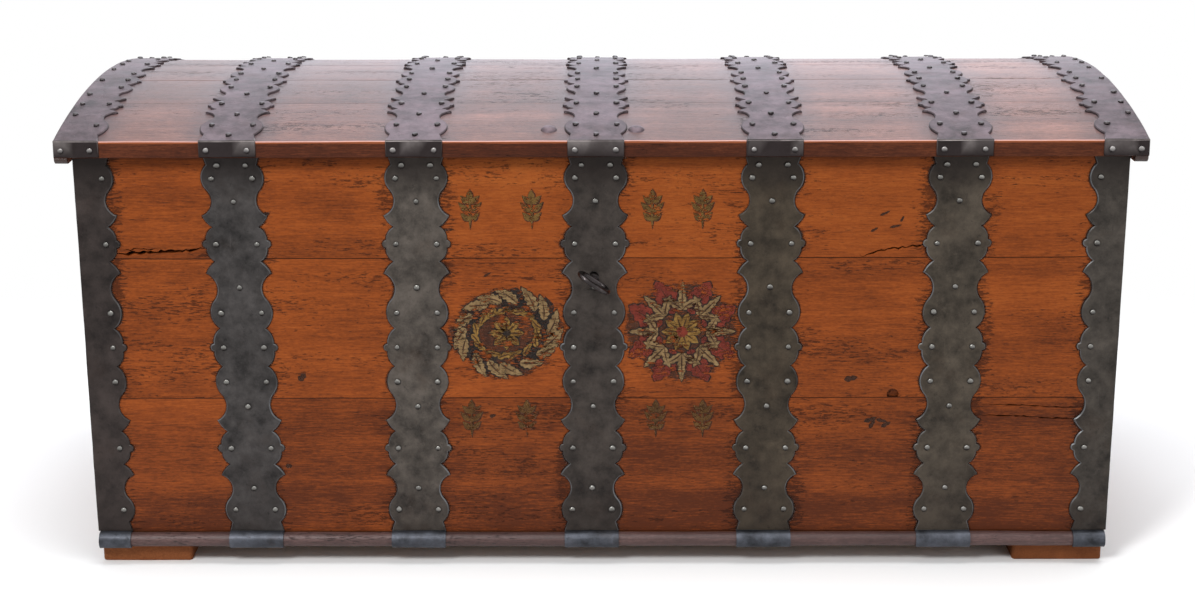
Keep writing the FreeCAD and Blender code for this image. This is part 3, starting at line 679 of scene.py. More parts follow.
@dataclass(frozen=True)
class IronFinish:
    """Forged iron with cloudy patches, brown spots and scratches, rubbed edges that also carry a painted
    highlight, and the painted shade and plain darkening that the mesh carries.
    """

    name: str
    tint: Colour
    # The rim's colour and how much of it always shows: rubbed iron that is also a painted highlight
    rub_highlight: Colour = (0.135, 0.139, 0.144)
    rubbed: float = 0.15
    contrast: float = 0.66
    brown: float = 0.35
    gloss: float = 0.44
    metal: float = 0.75
    dents: float = 1.0
    # Colour and cover of the darkening the mesh asks for, mostly painted shade and painted shadow
    shade_and_darkening: Colour = (0.013, 0.009, 0.008)
    shade_and_darkening_cover: float = 0.9
    relief: float = 1.2 * MM

    def material(self) -> bpy.types.Material:
        """Build the finish.

        Returns:
            The material.
        """
        s = Shader(self.name)
        seed, rim = s.attribute("seed"), s.attribute("rim")
        dark, light = (tuple(c * (1 + sign * self.contrast) for c in self.tint) for sign in (-1, 1))
        cloud = s.noise(13.0, 4, 0.6, seed + 4.0)
        patch = s.noise(40.0, 6, 0.72, seed)
        grit = s.noise(420.0, 3, 0.6, seed)
        pits = s.noise(110.0, 5, 0.7, seed + 2.0).step(0.58, 0.72)
        colour = s.ramp(cloud * 0.42 + patch * 0.58, ((0.38, dark), (0.61, light)))
        spots = s.noise(15.0, 5, 0.7, seed + 9.0).step(0.50, 0.72) * self.brown
        colour = s.mix(spots, colour, tuple(0.6 * c * t for c, t in zip(self.tint, (1.2, 0.85, 0.62))))
        scuffs = s.noise(85.0, 6, 0.74, seed + 7.0).step(0.55, 0.70) * 0.35
        colour = s.mix(scuffs, colour, tuple(min(1.0, 2.0 * c) for c in self.tint))
        colour = s.mix(pits * 0.55, colour, tuple(0.25 * c for c in self.tint))
        scratch = s.noise((300.0, 300.0, 14.0), 2, 0.4, seed + 6.0, 0.4).step(0.70, 0.76) * 0.22
        colour = s.mix(scratch, colour, tuple(min(1.0, 2.4 * c) for c in self.tint))
        # Painted shade and shadow from the mesh's attribute, with plain darkening where no cause is known
        colour = s.mix(s.attribute("shade_and_darkening") * self.shade_and_darkening_cover, colour, self.shade_and_darkening)
        # The rubbed rim, worn bright and also a painted highlight on the edges
        worn = s.noise(16.0, 4, 0.6, seed + 12.0).step(0.42, 0.66) * (1 - self.rubbed) + self.rubbed
        colour = s.mix(rim * worn, colour, self.rub_highlight)
        rough = self.gloss + patch * 0.22 + grit * 0.08 - rim * 0.04 - 0.12
        hammer = s.node("ShaderNodeTexVoronoi", {"feature": "SMOOTH_F1"},
                        {"Vector": s.place, "Scale": 46.0, "Smoothness": 1.0})
        height = hammer * self.dents + patch * 0.5 + grit * 0.10 - pits * 0.35
        return s.finish(Base_Color=colour, Roughness=rough, Metallic=self.metal,
                        Normal=s.bump(height, self.relief, 0.6))


@dataclass(frozen=True)
class PaintFinish:
    """Thin old paint, flaked off along the grain of the wood below it and thin at its edges."""

    name: str
    dark: Colour
    light: Colour
    left: float = 0.8
    cover: float = 0.92
    relief: float = 0.2 * MM

    def material(self) -> bpy.types.Material:
        """Build the finish.

        Returns:
            The material.
        """
        s = Shader(self.name)
        shade_of = s.noise(70.0, 4, 0.62)
        flakes = s.noise((110.0, 560.0, 560.0), 4, 0.62, 2.0)
        smudge = s.noise(55.0, 5, 0.66, 5.0)
        colour = s.ramp(shade_of, ((0.36, self.dark), (0.64, self.light)))
        bare = flakes * 0.55 + smudge * 0.45 + (1 - s.attribute("fade")) * 0.22
        kept = bare.step(0.40 + 0.24 * self.left, 0.30 + 0.24 * self.left)
        return s.finish(Base_Color=colour, Roughness=0.55, Alpha=kept * self.cover, Specular_IOR_Level=0.2,
                        Normal=s.bump(flakes, self.relief))


@dataclass(frozen=True)
class StainAndShadowFinish:
    """A dark stain that iron leaves on wood, which is also a painted contact shadow beside the iron and
    fades away from it.
    """

    name: str
    colour: Colour
    strength: float = 0.9

    def material(self) -> bpy.types.Material:
        """Build the finish.

        Returns:
            The material.
        """
        s = Shader(self.name)
        fade = s.attribute("fade")
        patchy = s.noise((45.0, 90.0, 160.0), 5, 0.65)
        broad = s.noise(9.0, 2, 0.5, 3.0)
        shown = (fade * 1.1 + patchy * 0.8 + broad * 0.7 - 1.05).step(0.0, 0.95)
        shown = shown * fade.step(0.0, 0.7) * self.strength
        return s.finish(Base_Color=self.colour, Roughness=0.6, Alpha=shown, Specular_IOR_Level=0.2)


# Nails

@dataclass(frozen=True)
class NailPlace:
    """Where a nail's head sits on the iron, and the way it faces."""

    point: Vector
    out: Vector


def nail_places(node: str) -> list[NailPlace]:
    """Return the places of all the nails in a packed group.

    Args:
        node: the group's name.

    Returns:
        One place per nail, found from its axis and the flare of its head.
    """
    loose = copy_of(node, node + "_loose")
    edit(loose)
    bpy.ops.mesh.select_all(action="SELECT")
    bpy.ops.mesh.separate(type="LOOSE")
    object_mode()
    places = []
    for part in list(bpy.context.selected_objects):
        points = np.array([v.co for v in part.data.vertices])
        middle = (points.min(0) + points.max(0)) / 2
        axis = np.linalg.svd(points - middle)[2][0]
        along = (points - middle) @ axis
        across = np.linalg.norm(points - middle - np.outer(along, axis), axis=1)
        if along[np.argmax(across)] < 0:
            axis, along = -axis, -along
        rim = along[np.argmax(across)]
        core = points[np.abs(along - rim) < 0.05 * MM].mean(0)
        places.append(NailPlace(Vector(core), Vector(axis)))
        mesh = part.data
        bpy.data.objects.remove(part)
        bpy.data.meshes.remove(mesh)
    return sorted(places, key=lambda place: tuple(round(c, 4) for c in place.point))


@dataclass
class NailHeads:
    """Domed hand-made heads, one shape copied to every nail of a group."""

    radius: float = 4.3 * MM
    crown: float = 2.9 * MM
    flat: float = 0.93
    # A dark skirt round the head's foot, as painted contact shadow
    shadow_skirt: float = 1.20
    shadow_skirt_edge: float = 0.2 * MM
    shadow_skirt_height: float = 0.8 * MM
    sides: int = 12
    rings: int = 10
    sizes: tuple[float, float] = (0.92, 1.10)
    widths: tuple[float, float] = (0.94, 1.06)
    tip: float = 0.10
    smooth_below: float = 50
    # The painted highlight on a head's upper side and the painted shade below it
    flat_highlight_dimming: float = 0.85
    rub_highlight: tuple[float, float] = (0.45, 1.1)
    dirt_and_shade: tuple[float, float] = (-0.05, -1.6)
    deepest_shade: float = 0.9

    def pattern(self) -> bpy.types.Object:
        """Model one head with a hammered flat on its crown, a painted highlight over the crown and a dark
        skirt round its foot as painted shadow.

        Returns:
            The head, at the origin and facing up.
        """
        head = primitive("uv_sphere", segments=self.sides, ring_count=self.rings, radius=self.radius)
        edit(head)
        bpy.ops.mesh.select_all(action="SELECT")
        bpy.ops.mesh.bisect(plane_co=(0, 0, 0), plane_no=(0, 0, 1), clear_inner=True)
        bpy.ops.mesh.select_all(action="SELECT")
        bpy.ops.transform.resize(value=(1, 1, self.crown / self.radius))
        bpy.ops.mesh.bisect(plane_co=(0.2 * MM, 0, self.flat * self.crown), plane_no=(0.12, 0.05, 1),
                            use_fill=True, clear_outer=True)
        pick(head, "VERT", lambda v: v.co.z < 0.01 * MM)
        bpy.ops.mesh.extrude_region_move(TRANSFORM_OT_translate={"value": (0, 0, -self.shadow_skirt_edge)})
        bpy.ops.transform.resize(value=(self.shadow_skirt, self.shadow_skirt, 1))
        bpy.ops.mesh.extrude_region_move(TRANSFORM_OT_translate={"value": (0, 0, -self.shadow_skirt_height)})
        object_mode()
        # Painted shadow on the skirt, and a painted highlight over the crown
        shade(head, "shade_and_darkening", lambda v: float(v.co.z < -0.1 * MM))
        shade(head, "rim", lambda v: max(0.0, min(1.0, 1.8 * v.co.z / self.crown - 0.5)))
        return head

    def drive(self, places: Iterable[NailPlace], name: str, seed: int) -> bpy.types.Object:
        """Put a head on every nail, each turned and sized a little differently.

        Args:
            places: where the nails are.
            name: the name of the group.
            seed: the start of its random draws.

        Returns:
            All the heads as one piece.
        """
        draw = random.Random(seed)
        pattern = self.pattern()
        heads = []
        for place in places:
            head = pattern.copy()
            head.data = pattern.data.copy()
            bpy.context.scene.collection.objects.link(head)
            size = draw.uniform(*self.sizes)
            wide = draw.uniform(*self.widths)
            turn = Matrix.Rotation(draw.uniform(0, math.tau), 4, "Z")
            tip = Matrix.Rotation(draw.uniform(-self.tip, self.tip), 4, "X")
            aim = place.out.to_track_quat("Z", "Y").to_matrix().to_4x4()
            scale = Matrix.Diagonal((size * wide, size / wide, size, 1))
            head.data.transform(Matrix.Translation(place.point) @ aim @ tip @ turn @ scale)
            self.paint_highlight_and_shade(head, place)
            heads.append(head)
        bpy.data.objects.remove(pattern)
        group = join(heads, name)
        smooth(group, self.smooth_below)
        return group

    def paint_highlight_and_shade(self, head: bpy.types.Object, place: NailPlace) -> None:
        """Paint a highlight on the upper side of an upright head and painted shade below it, and dim the
        highlight of a flat one.

        Args:
            head: the head, in its place.
            place: where its nail is.
        """
        # The painted highlight rises and the painted shade grows with a point's height along the way up
        up = UP - place.out * place.out.z
        bright = 1 - self.flat_highlight_dimming * place.out.z ** 2
        for vertex in head.data.vertices:
            height = (vertex.co - place.point).dot(up) / self.radius
            rim, shade_and_darkening = (head.data.attributes[name].data[vertex.index] for name in ("rim", "shade_and_darkening"))
            rim.value *= bright * max(0.0, min(1.0, self.rub_highlight[0] + self.rub_highlight[1] * height))
            shade_and_darkening.value = max(shade_and_darkening.value, min(self.deepest_shade, self.dirt_and_shade[0] + self.dirt_and_shade[1] * height))


# Ironwork

PlaceKey: TypeAlias = tuple[float, float, float]


def place_key(point: Vector) -> PlaceKey:
    """Return a point rounded to a micrometre, to find it again."""
    return tuple(round(c, 6) for c in point)


@dataclass(frozen=True)
class Outline:
    """One short run of a strap's outline: its ends, and the ways up and out of the strap there."""

    ends: tuple[Vector, Vector]
    up: Vector
    side: Vector


@dataclass
class Ironwork:
    """Flat forged iron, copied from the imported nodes, filled, chamfered and hammered uneven."""

    chamfer: float = 1.2 * MM
    chamfer_drop: float = 1.1 * MM
    fading: float = 0.6 * MM
    pitch: float = 13 * MM
    uneven: float = 1.0 * MM
    clouds: float = 45 * MM
    hole: float = 2.2 * MM
    hole_depth: float = 8 * MM
    facing: float = 0.8
    smooth_below: float = 32
    # The dark border beside a strap, an iron stain and painted contact shadow: its reach and how far below
    # the iron it lies
    stain_reach: float = 5 * MM
    stain_sink: float = 2.1 * MM
    seeds: random.Random = field(default_factory=lambda: random.Random(7))
    outlines: dict[str, list[Outline]] = field(default_factory=dict)

    def strap(self, node: str, outs: Sequence[Vector], nails: Sequence[NailPlace],
              cuts: Sequence[int]) -> bpy.types.Object:
        """Return a strap with its nail holes closed and its edges chamfered.

        Args:
            node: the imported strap.
            outs: the ways that its outer faces look.
            nails: all nails that may pass through it.
            cuts: the axes along which it is cut finer, to be hammered uneven.

        Returns:
            The new piece.
        """
        piece = copy_of(node, node + "_forged")
        self.close_holes(piece, nails)
        self.outlines[node] = []
        for out in outs:
            self.outlines[node] += self.chamfer_face(piece, out)
        for axis in cuts:
            cut_across(piece, axis, self.pitch)
        roughen(piece, self.clouds, self.uneven)
        stamp(piece, "seed", self.seeds.uniform(0, 40))
        smooth(piece, self.smooth_below)
        return piece

    def close_holes(self, piece: bpy.types.Object, nails: Sequence[NailPlace]) -> None:
        """Take out the walls of the nail holes and close the faces over them.

        Args:
            piece: the strap.
            nails: all nails that may pass through it.
        """
        low = Vector(map(min, zip(*(v.co for v in piece.data.vertices))))
        high = Vector(map(max, zip(*(v.co for v in piece.data.vertices))))
        near = [n for n in nails if all(low[i] - MM < n.point[i] < high[i] + MM for i in range(3))]
        if not near:
            return
        points = np.array([n.point for n in near])
        axes = np.array([n.out for n in near])

        def in_hole(face: bpy.types.MeshPolygon) -> bool:
            """Tell whether a face is part of a hole's wall.

            Args:
                face: a face of the strap.

            Returns:
                Whether it is.
            """
            away = np.array(face.center) - points
            along = (away * axes).sum(1)
            radial = np.linalg.norm(away - along[:, None] * axes, axis=1)
            level = np.abs(axes @ np.array(face.normal))
            return bool(np.any((radial < self.hole) & (np.abs(along) < self.hole_depth) & (level < 0.5)))

        edit(piece)
        if pick(piece, "FACE", in_hole):
            bpy.ops.mesh.delete(type="FACE")
            bpy.ops.mesh.select_mode(type="EDGE")
            bpy.ops.mesh.select_non_manifold()
            bpy.ops.mesh.fill_holes(sides=0)
            bpy.ops.mesh.select_all(action="SELECT")
            bpy.ops.mesh.dissolve_limited(angle_limit=FLAT_ANGLE)
        object_mode()

    def chamfer_face(self, piece: bpy.types.Object, out: Vector) -> list[Outline]:
        """Inset the faces that look one way, and press their outline back as a rubbed rim that is also a
        painted highlight.

        The rim ends in a second, narrow inset, over which the rubbing and the highlight fade.

        Args:
            piece: the strap.
            out: the way that the faces look.

        Returns:
            The outline of the faces, before the inset.
        """
        edit(piece)
        pick(piece, "FACE", lambda face: face.normal.dot(out) > self.facing)
        object_mode()
        outlines = self.trace(piece)
        rings = [self.corners_of(outlines)]
        for width in (self.chamfer, self.fading):
            bpy.ops.object.mode_set(mode="EDIT")
            bpy.ops.mesh.inset(thickness=width, depth=0, use_even_offset=False)
            object_mode()
            rings.append(self.corners_of(self.trace(piece)))
        # The chamfer carries the rubbed rim, which is also a painted highlight
        rim = piece.data.attributes.get("rim") or piece.data.attributes.new("rim", "FLOAT", "POINT")
        for vertex in piece.data.vertices:
            if place_key(vertex.co) in rings[0] | rings[1]:
                rim.data[vertex.index].value = 1.0
        edit(piece, "VERT")
        pick(piece, "VERT", lambda v: place_key(v.co) in rings[0])
        bpy.ops.transform.translate(value=out * -self.chamfer_drop)
        object_mode()
        return outlines

    @staticmethod
    def corners_of(outlines: Iterable[Outline]) -> set[PlaceKey]:
        """Return the places of all corners of an outline."""
        return {place_key(end) for run in outlines for end in run.ends}

    @staticmethod
    def trace(piece: bpy.types.Object) -> list[Outline]:
        """Find the outline of the selected faces.

        Args:
            piece: the piece, in object mode.

        Returns:
            Its runs, each with the face on its left.
        """
        owners: dict[tuple[int, int], list[tuple[int, int, Vector]]] = {}
        for face in piece.data.polygons:
            if face.select:
                corners = list(face.vertices)
                for first, last in zip(corners, corners[1:] + corners[:1]):
                    edge = (min(first, last), max(first, last))
                    owners.setdefault(edge, []).append((first, last, face.normal.copy()))
        runs = []
        for found in owners.values():
            if len(found) == 1:
                first, last, up = found[0]
                start, end = piece.data.vertices[first].co.copy(), piece.data.vertices[last].co.copy()
                runs.append(Outline((start, end), up, (end - start).cross(up).normalized()))
        return runs

    def stain(self, node: str, wanted: Callable[[Outline], bool]) -> bpy.types.Object:
        """Lay a soft dark border that follows a strap's outline on the wood below it: an iron stain and a
        painted contact shadow.

        Args:
            node: the strap.
            wanted: tells which runs of the outline have wood beside them.

        Returns:
            The border, with the attribute "fade" of 1 at the strap and 0 outside.
        """
        places: dict[PlaceKey, tuple[Vector, Vector, Vector]] = {}
        keys = []
        for run in filter(wanted, self.outlines[node]):
            ends = []
            for end in run.ends:
                key = place_key(end)
                point, up, side = places.setdefault(key, (end, Vector(), Vector()))
                up += run.up
                side += run.side
                ends.append(key)
            keys.append(ends)
        rows, fades, index = [], [], {}
        for key, (point, up, side) in places.items():
            index[key] = len(rows)
            base = point - up.normalized() * self.stain_sink
            spread = max(1.5 * MM, self.stain_reach * (0.75 + 0.9 * noise.noise(point * 22)))
            rows += [base - side.normalized() * 2 * MM, base, base + side.normalized() * spread]
            fades += [1.0, 1.0, 0.0]
        faces = []
        for first, last in keys:
            a, b = index[first], index[last]
            faces += [(a, b, b + 1, a + 1), (a + 1, b + 1, b + 2, a + 2)]
        mesh = bpy.data.meshes.new(node + "_stain_and_shadow")
        mesh.from_pydata(rows, [], faces)
        border = put(node + "_stain_and_shadow", mesh)
        shade(border, "fade", lambda v: fades[v.index])
        return border

    def plate(self, node: str, width: float, cuts: Sequence[int] = ()) -> bpy.types.Object:
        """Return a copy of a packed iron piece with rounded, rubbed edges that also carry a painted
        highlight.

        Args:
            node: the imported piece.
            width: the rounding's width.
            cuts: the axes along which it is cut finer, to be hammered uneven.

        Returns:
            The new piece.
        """
        piece = copy_of(node, node + "_forged")
        for number in range(2):
            piece.data.materials.append(bpy.data.materials.new("mark_%d" % number))
        modify(piece, "BEVEL", width=width, segments=2, limit_method="ANGLE", angle_limit=EDGE_ANGLE,
               material=1)
        flat = {i for f in piece.data.polygons if f.material_index == 0 for i in f.vertices}
        # The rounded edges carry the rubbed rim, which is also a painted highlight
        shade(piece, "rim", lambda v: float(v.index not in flat))
        piece.data.polygons.foreach_set("material_index", [0] * len(piece.data.polygons))
        for axis in cuts:
            cut_across(piece, axis, self.pitch)
        if cuts:
            roughen(piece, self.clouds, self.uneven)
        stamp(piece, "seed", self.seeds.uniform(0, 40))
        smooth(piece, self.smooth_below)
        return piece


# Woodwork

@dataclass(frozen=True)
class Crack:
    """A jagged split in the face of a front plank, along places given as x and z in millimetres."""

    path: tuple[tuple[float, float], ...]
    height: float = 5.0
    depth: float = 14.0
    step: float = 5.0
    ragged: float = 1.5
    seed: int = 1
    tip: float = 0.12
    bottom: float = 0.25
    swells: tuple[float, float] = (0.35, 1.3)

    def cutter(self, face_y: float) -> bpy.types.Object:
        """Model a thin wedge that follows the path and narrows to its ends and its bottom.

        Args:
            face_y: the place of the plank's face.

        Returns:
            The wedge, to be cut out of the plank.
        """
        draw = random.Random(self.seed)
        x, z = np.array(self.path).T * MM
        wedge = primitive("cube", size=1)
        wedge.data.transform(Matrix.Translation((0.5, 0, 0)))
        wedge.data.transform(Matrix.Diagonal((x[-1] - x[0], 2 * self.depth * MM, self.height * MM, 1)))
        wedge.data.transform(Matrix.Translation((x[0], face_y, 0)))
        cut_across(wedge, 0, self.step * MM)
        wobble: dict[int, tuple[float, float]] = {}
        for vertex in wedge.data.vertices:
            column = round(vertex.co.x / MM)
            if column not in wobble:
                wobble[column] = (draw.uniform(-1, 1) * self.ragged * MM, draw.uniform(*self.swells))
            shift, swell = wobble[column]
            share = (vertex.co.x - x[0]) / (x[-1] - x[0])
            taper = self.tip + (1 - self.tip) * min(1.0, 5 * min(share, 1 - share))
            closing = 1.0 if vertex.co.y < face_y else self.bottom
            middle = float(np.interp(vertex.co.x, x, z)) + shift
            vertex.co.z = middle + vertex.co.z * taper * swell * closing
        return wedge


@dataclass
class Carpentry:
    """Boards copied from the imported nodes, with eased edges and an uneven planed face."""

    ease: float = 1.8 * MM
    pitch: float = 24 * MM
    uneven: float = 1.5 * MM
    clouds: float = 110 * MM
    smooth_below: float = 35
    seeds: random.Random = field(default_factory=lambda: random.Random(3))

    def board(self, node: str, cuts: Sequence[int], cutters: Sequence[bpy.types.Object] = (),
              tone: float = 0.0, ease: float | None = None,
              marks: dict[str, VertexValue] | None = None) -> bpy.types.Object:
        """Return a worn board.

        Args:
            node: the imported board.
            cuts: the axes along which it is cut finer, to be made uneven.
            cutters: wedges and rods that are cut out of it and used up.
            tone: how much lighter than its neighbours it is, from -1 to 1.
            ease: the rounding of its edges, if not the usual one.
            marks: numbers that its points carry, by name, worked out before it is made uneven.

        Returns:
            The new piece.
        """
        piece = copy_of(node, node + "_worn")
        modify(piece, "BEVEL", width=ease or self.ease, segments=2, limit_method="ANGLE",
               angle_limit=EDGE_ANGLE)
        for cutter in cutters:
            modify(piece, "BOOLEAN", object=cutter, operation="DIFFERENCE", solver="EXACT")
            bpy.data.objects.remove(cutter)
        for axis in cuts:
            cut_across(piece, axis, self.pitch)
        stamp(piece, "seed", self.seeds.uniform(0, 60))
        stamp(piece, "tone", tone)
        for name, value in (marks or {}).items():
            shade(piece, name, value)
        roughen(piece, self.clouds, self.uneven)
        smooth(piece, self.smooth_below)
        return piece


@dataclass
class Carcass:
    """The walls, floor and runners of the chest.

    The tones of a front plank are those at its foot and top, its change to the right and its
    swell in the middle.
    """

    carpentry: Carpentry
    cracks: dict[str, tuple[Crack, ...]] = field(default_factory=lambda: {
        "front_plank_top": (
            Crack(((-692, 463), (-640, 465), (-600, 467), (-545, 473)), 8.0, seed=4),
            Crack(((-668, 469), (-640, 471), (-615, 470)), 3.0, 8, seed=5),
            Crack(((362, 458), (391, 467), (420, 471), (460, 475)), 4.5, seed=6)),
        "front_plank_bottom": (
            Crack(((541, 240), (600, 239), (650, 236), (694, 236)), 3.0, 8, ragged=0.7, seed=9),
            Crack(((538, 224), (590, 223), (640, 219), (694, 218)), 3.4, 9, ragged=0.7, seed=12)),
    })
    tones: dict[str, tuple[float, float, float, float]] = field(default_factory=lambda: {
        "front_plank_top": (-0.1, 0.0, 0.3, 0.45), "front_plank_middle": (-0.5, -0.2, 0.0, 0.0),
        "front_plank_bottom": (-1.5, -0.8, -0.2, 0.0)})
    notch_x: float = 415 * MM
    notch_radius: float = 8.5 * MM
    notch_depth: float = 10 * MM
    notch_grime: float = 0.45
    wall: float = 27 * MM
    bare_skin: float = 3 * MM
    bare_foot: float = 20 * MM
    bare_rim: float = 1.5 * MM
    bare_back: float = 310 * MM
    # How far below the lid's lower edge the painted shadow line lies
    lid_shadow_drop: float = 7 * MM

    def build(self) -> dict[str, bpy.types.Object]:
        """Build all boards.

        Returns:
            The front planks by node.
        """
        fronts = self.front()
        self.others()
        return fronts

    def front(self) -> dict[str, bpy.types.Object]:
        """Build the three front planks with their splits and the notch.

        Returns:
            The planks by node.
        """
        lines = tuple(StrapLine.of("front_strap_%d" % k) for k in range(1, 6))
        sides = tuple(StrapLine.of("corner_strap_front_" + side) for side in ("left", "right"))
        low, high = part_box("floor_board_front")[0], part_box("front_plank_top")[1]
        inside = self.bare_inside(low.x, high.x, high.y - self.bare_skin, self.bare_back)
        finish = WoodFinish("waxed_front_wood", (0.078, 0.017, 0.004), (0.262, 0.059, 0.010),
                            (0.420, 0.112, 0.020), shine=0.14, lines=lines + sides, bare_box=inside,
                            lid_shadow_line=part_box("lid_board_1")[0].z - self.lid_shadow_drop)
        material = finish.material()
        fronts = {}
        for node in self.tones:
            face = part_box(node)[0].y
            cutters = [crack.cutter(face) for crack in self.cracks.get(node, ())]
            if node == "front_plank_middle":
                cutters.append(self.notch(face))
            marks = {"grime": self.grime(node), "tone": self.tone(node)}
            piece = self.carpentry.board(node, (0, 2), cutters, marks=marks)
            fronts[node] = settle(piece, Body.CHEST, "wall_wood", material, node)
        return fronts

    def bare_inside(self, left: float, right: float, front: float, back: float) -> tuple[Colour, Colour]:
        """Return two corners of the space with unwaxed wood, from the outer x and the y that it reaches."""
        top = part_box("front_plank_top")[1].z - self.bare_rim
        return (left + self.wall, front, self.bare_foot), (right - self.wall, back, top)

    def grime(self, node: str) -> VertexValue:
        """Make the measure of dirt in the splits of a front plank.

        Args:
            node: the plank.

        Returns:
            The measure at a point: 1 in a split, less in the notch, and 0 elsewhere.
        """
        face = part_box(node)[0].y
        notched = node == "front_plank_middle"

        def measure(vertex: bpy.types.MeshVertex) -> float:
            """Return the dirt at a point of the plank."""
            in_notch = notched and abs(vertex.co.x - self.notch_x) < 12 * MM
            return (0.3 * MM < vertex.co.y - face < 20 * MM) * (self.notch_grime if in_notch else 1.0)

        return measure

    def tone(self, node: str) -> VertexValue:
        """Make the measure of how light the wood of a front plank is.

        Args:
            node: the plank.

        Returns:
            The measure at a point: it changes from foot to top, from left to right and to the middle.
        """
        low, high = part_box(node)
        low_tone, high_tone, slope, swell = self.tones[node]

        def measure(vertex: bpy.types.MeshVertex) -> float:
            """Work out the tone at a point.

            Args:
                vertex: a point of the plank.

            Returns:
                The tone.
            """
            up = (high_tone - low_tone) * (vertex.co.z - low.z) / (high.z - low.z)
            across = slope * max(-1.0, min(1.0, 1.5 * vertex.co.x))
            return low_tone + up + across + swell * math.exp(-(4 * vertex.co.x) ** 2)

        return measure

    def notch(self, face: float) -> bpy.types.Object:
        """Model a rod that leaves a half-round notch in the middle plank's lower edge.

        Args:
            face: the place of the plank's face.

        Returns:
            The rod, to be cut out of the plank.
        """
        rod = primitive("cylinder", vertices=20, radius=self.notch_radius, depth=self.notch_depth)
        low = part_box("front_plank_middle")[0]
        rod.data.transform(Matrix.Translation((self.notch_x, face, low.z + 4 * MM))
                           @ Matrix.Rotation(math.pi / 2, 4, "X"))
        return rod

    def others(self) -> None:
        """Build the back, ends, floor and runners."""
        low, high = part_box("left_end_plank_bottom")[0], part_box("right_end_plank_bottom")[1]
        inside = self.bare_inside(low.x, high.x, low.y - self.bare_skin, high.y + self.bare_skin)
        waxed = ((0.070, 0.018, 0.006), (0.225, 0.060, 0.015), (0.350, 0.108, 0.028))
        wall = WoodFinish("waxed_wall_wood", *waxed, bare_box=inside).material()
        end = WoodFinish("waxed_end_wood", *waxed, Grain.ALONG_Y, bare_box=inside).material()
        floor = WoodFinish("worn_floor_wood", (0.050, 0.016, 0.007), (0.130, 0.045, 0.018),
                           (0.220, 0.085, 0.034), gloss=0.72, shine=0.12, bare_box=inside).material()
        runner = WoodFinish("plain_runner_wood", (0.090, 0.026, 0.008), (0.19, 0.060, 0.020),
                            (0.30, 0.110, 0.040), Grain.ALONG_Y, gloss=0.7, shine=0.12,
                            specks=0.45).material()
        kinds = (("back_plank_", "wall_wood", wall, (0, 2)),
                 (("left_end_plank_", "right_end_plank_"), "wall_wood", end, (1, 2)),
                 ("floor_board_", "floor_wood", floor, (0, 1)),
                 (("left_runner", "right_runner"), "runner_wood", runner, (1, 0)))
        for node in sorted(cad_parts):
            for start, slot, material, cuts in kinds:
                if node.startswith(start):
                    piece = self.carpentry.board(node, cuts, tone=self.carpentry.seeds.uniform(-0.4, 0.3))
                    settle(piece, Body.CHEST, slot, material, node)


@dataclass
class Lid:
    """The arched lid: five boards and a batten on either end."""

    carpentry: Carpentry
    tones: tuple[float, ...] = (0.27, -0.05, 0.22, 0.1, 0.35)
    slope: float = 0.5
    dip: float = 0.45
    batten_ease: float = 2.5 * MM
    batten_grime: float = 6 * MM

    def build(self) -> None:
        """Build the boards and battens."""
        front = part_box("lid_board_1")[0].y
        arris = (front + MM, self.arris_z(front))
        lines = tuple(self.line("lid_strap_%d" % k) for k in range(1, 8))
        finish = WoodFinish("waxed_lid_wood", (0.012, 0.006, 0.006), (0.098, 0.044, 0.037),
                            (0.275, 0.127, 0.098), gloss=0.44, shine=0.4, specks=1.0, lines=lines,
                            stain=0.7, stain_reach=30 * MM, arris=arris, wash=(0.052, 0.036, 0.042))
        material = finish.material()
        edge = WoodFinish("lid_edge_wood", (0.016, 0.005, 0.003), (0.068, 0.018, 0.008),
                          (0.180, 0.052, 0.020), gloss=0.6, shine=0.12, arris=arris).material()
        for number, tone in enumerate(self.tones, 1):
            node = "lid_board_%d" % number
            marks = {"outside": lambda v: float(v.normal.z > 0.1),
                     "tone": lambda v: tone + self.slope * v.co.x - self.dip * math.exp(-(3 * v.co.x) ** 2)}
            piece = self.carpentry.board(node, (0, 1), marks=marks)
            settle(piece, Body.LID, "lid_wood", material, node)
            if number == 1:
                piece.data.materials.append(edge)
                for face in piece.data.polygons:
                    face.material_index = int(face.normal.y < -0.85)
        ends = WoodFinish("waxed_batten_wood", (0.045, 0.014, 0.009), (0.150, 0.050, 0.026),
                          (0.260, 0.098, 0.050), Grain.ALONG_Y, gloss=0.42, shine=0.5).material()
        for side in ("left", "right"):
            marks = {"grime": lambda v: float(v.co.y < front + self.batten_grime)}
            piece = self.carpentry.board("lid_batten_" + side, (1,), ease=self.batten_ease, marks=marks)
            settle(piece, Body.LID, "lid_wood", ends, "lid_batten_" + side)

    @staticmethod
    def line(node: str) -> StrapLine:
        """Measure the middle line of a lid strap, which runs straight back.

        Args:
            node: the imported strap.

        Returns:
            Its middle line.
        """
        low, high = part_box(node)
        middle = (low.x + high.x) / 2
        return StrapLine(middle, middle, (high.x - low.x) / 2 - 6 * MM)

    @staticmethod
    def arris_z(face: float) -> float:
        """Return the height of the lid's upper front arris."""
        points = (v.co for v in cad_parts["lid_board_1"].data.vertices)
        return max(p.z for p in points if p.y < face + 0.5 * MM)


# Painting

# How far forward, in millimetres, flat shapes are drawn before they are laid on the planks
PAINT_Y = -320

Place: TypeAlias = tuple[float, float]

# A leaf's foot, angle, length, width, lobes and bend
LeafShape: TypeAlias = tuple[Place, float, float, float, int, float]


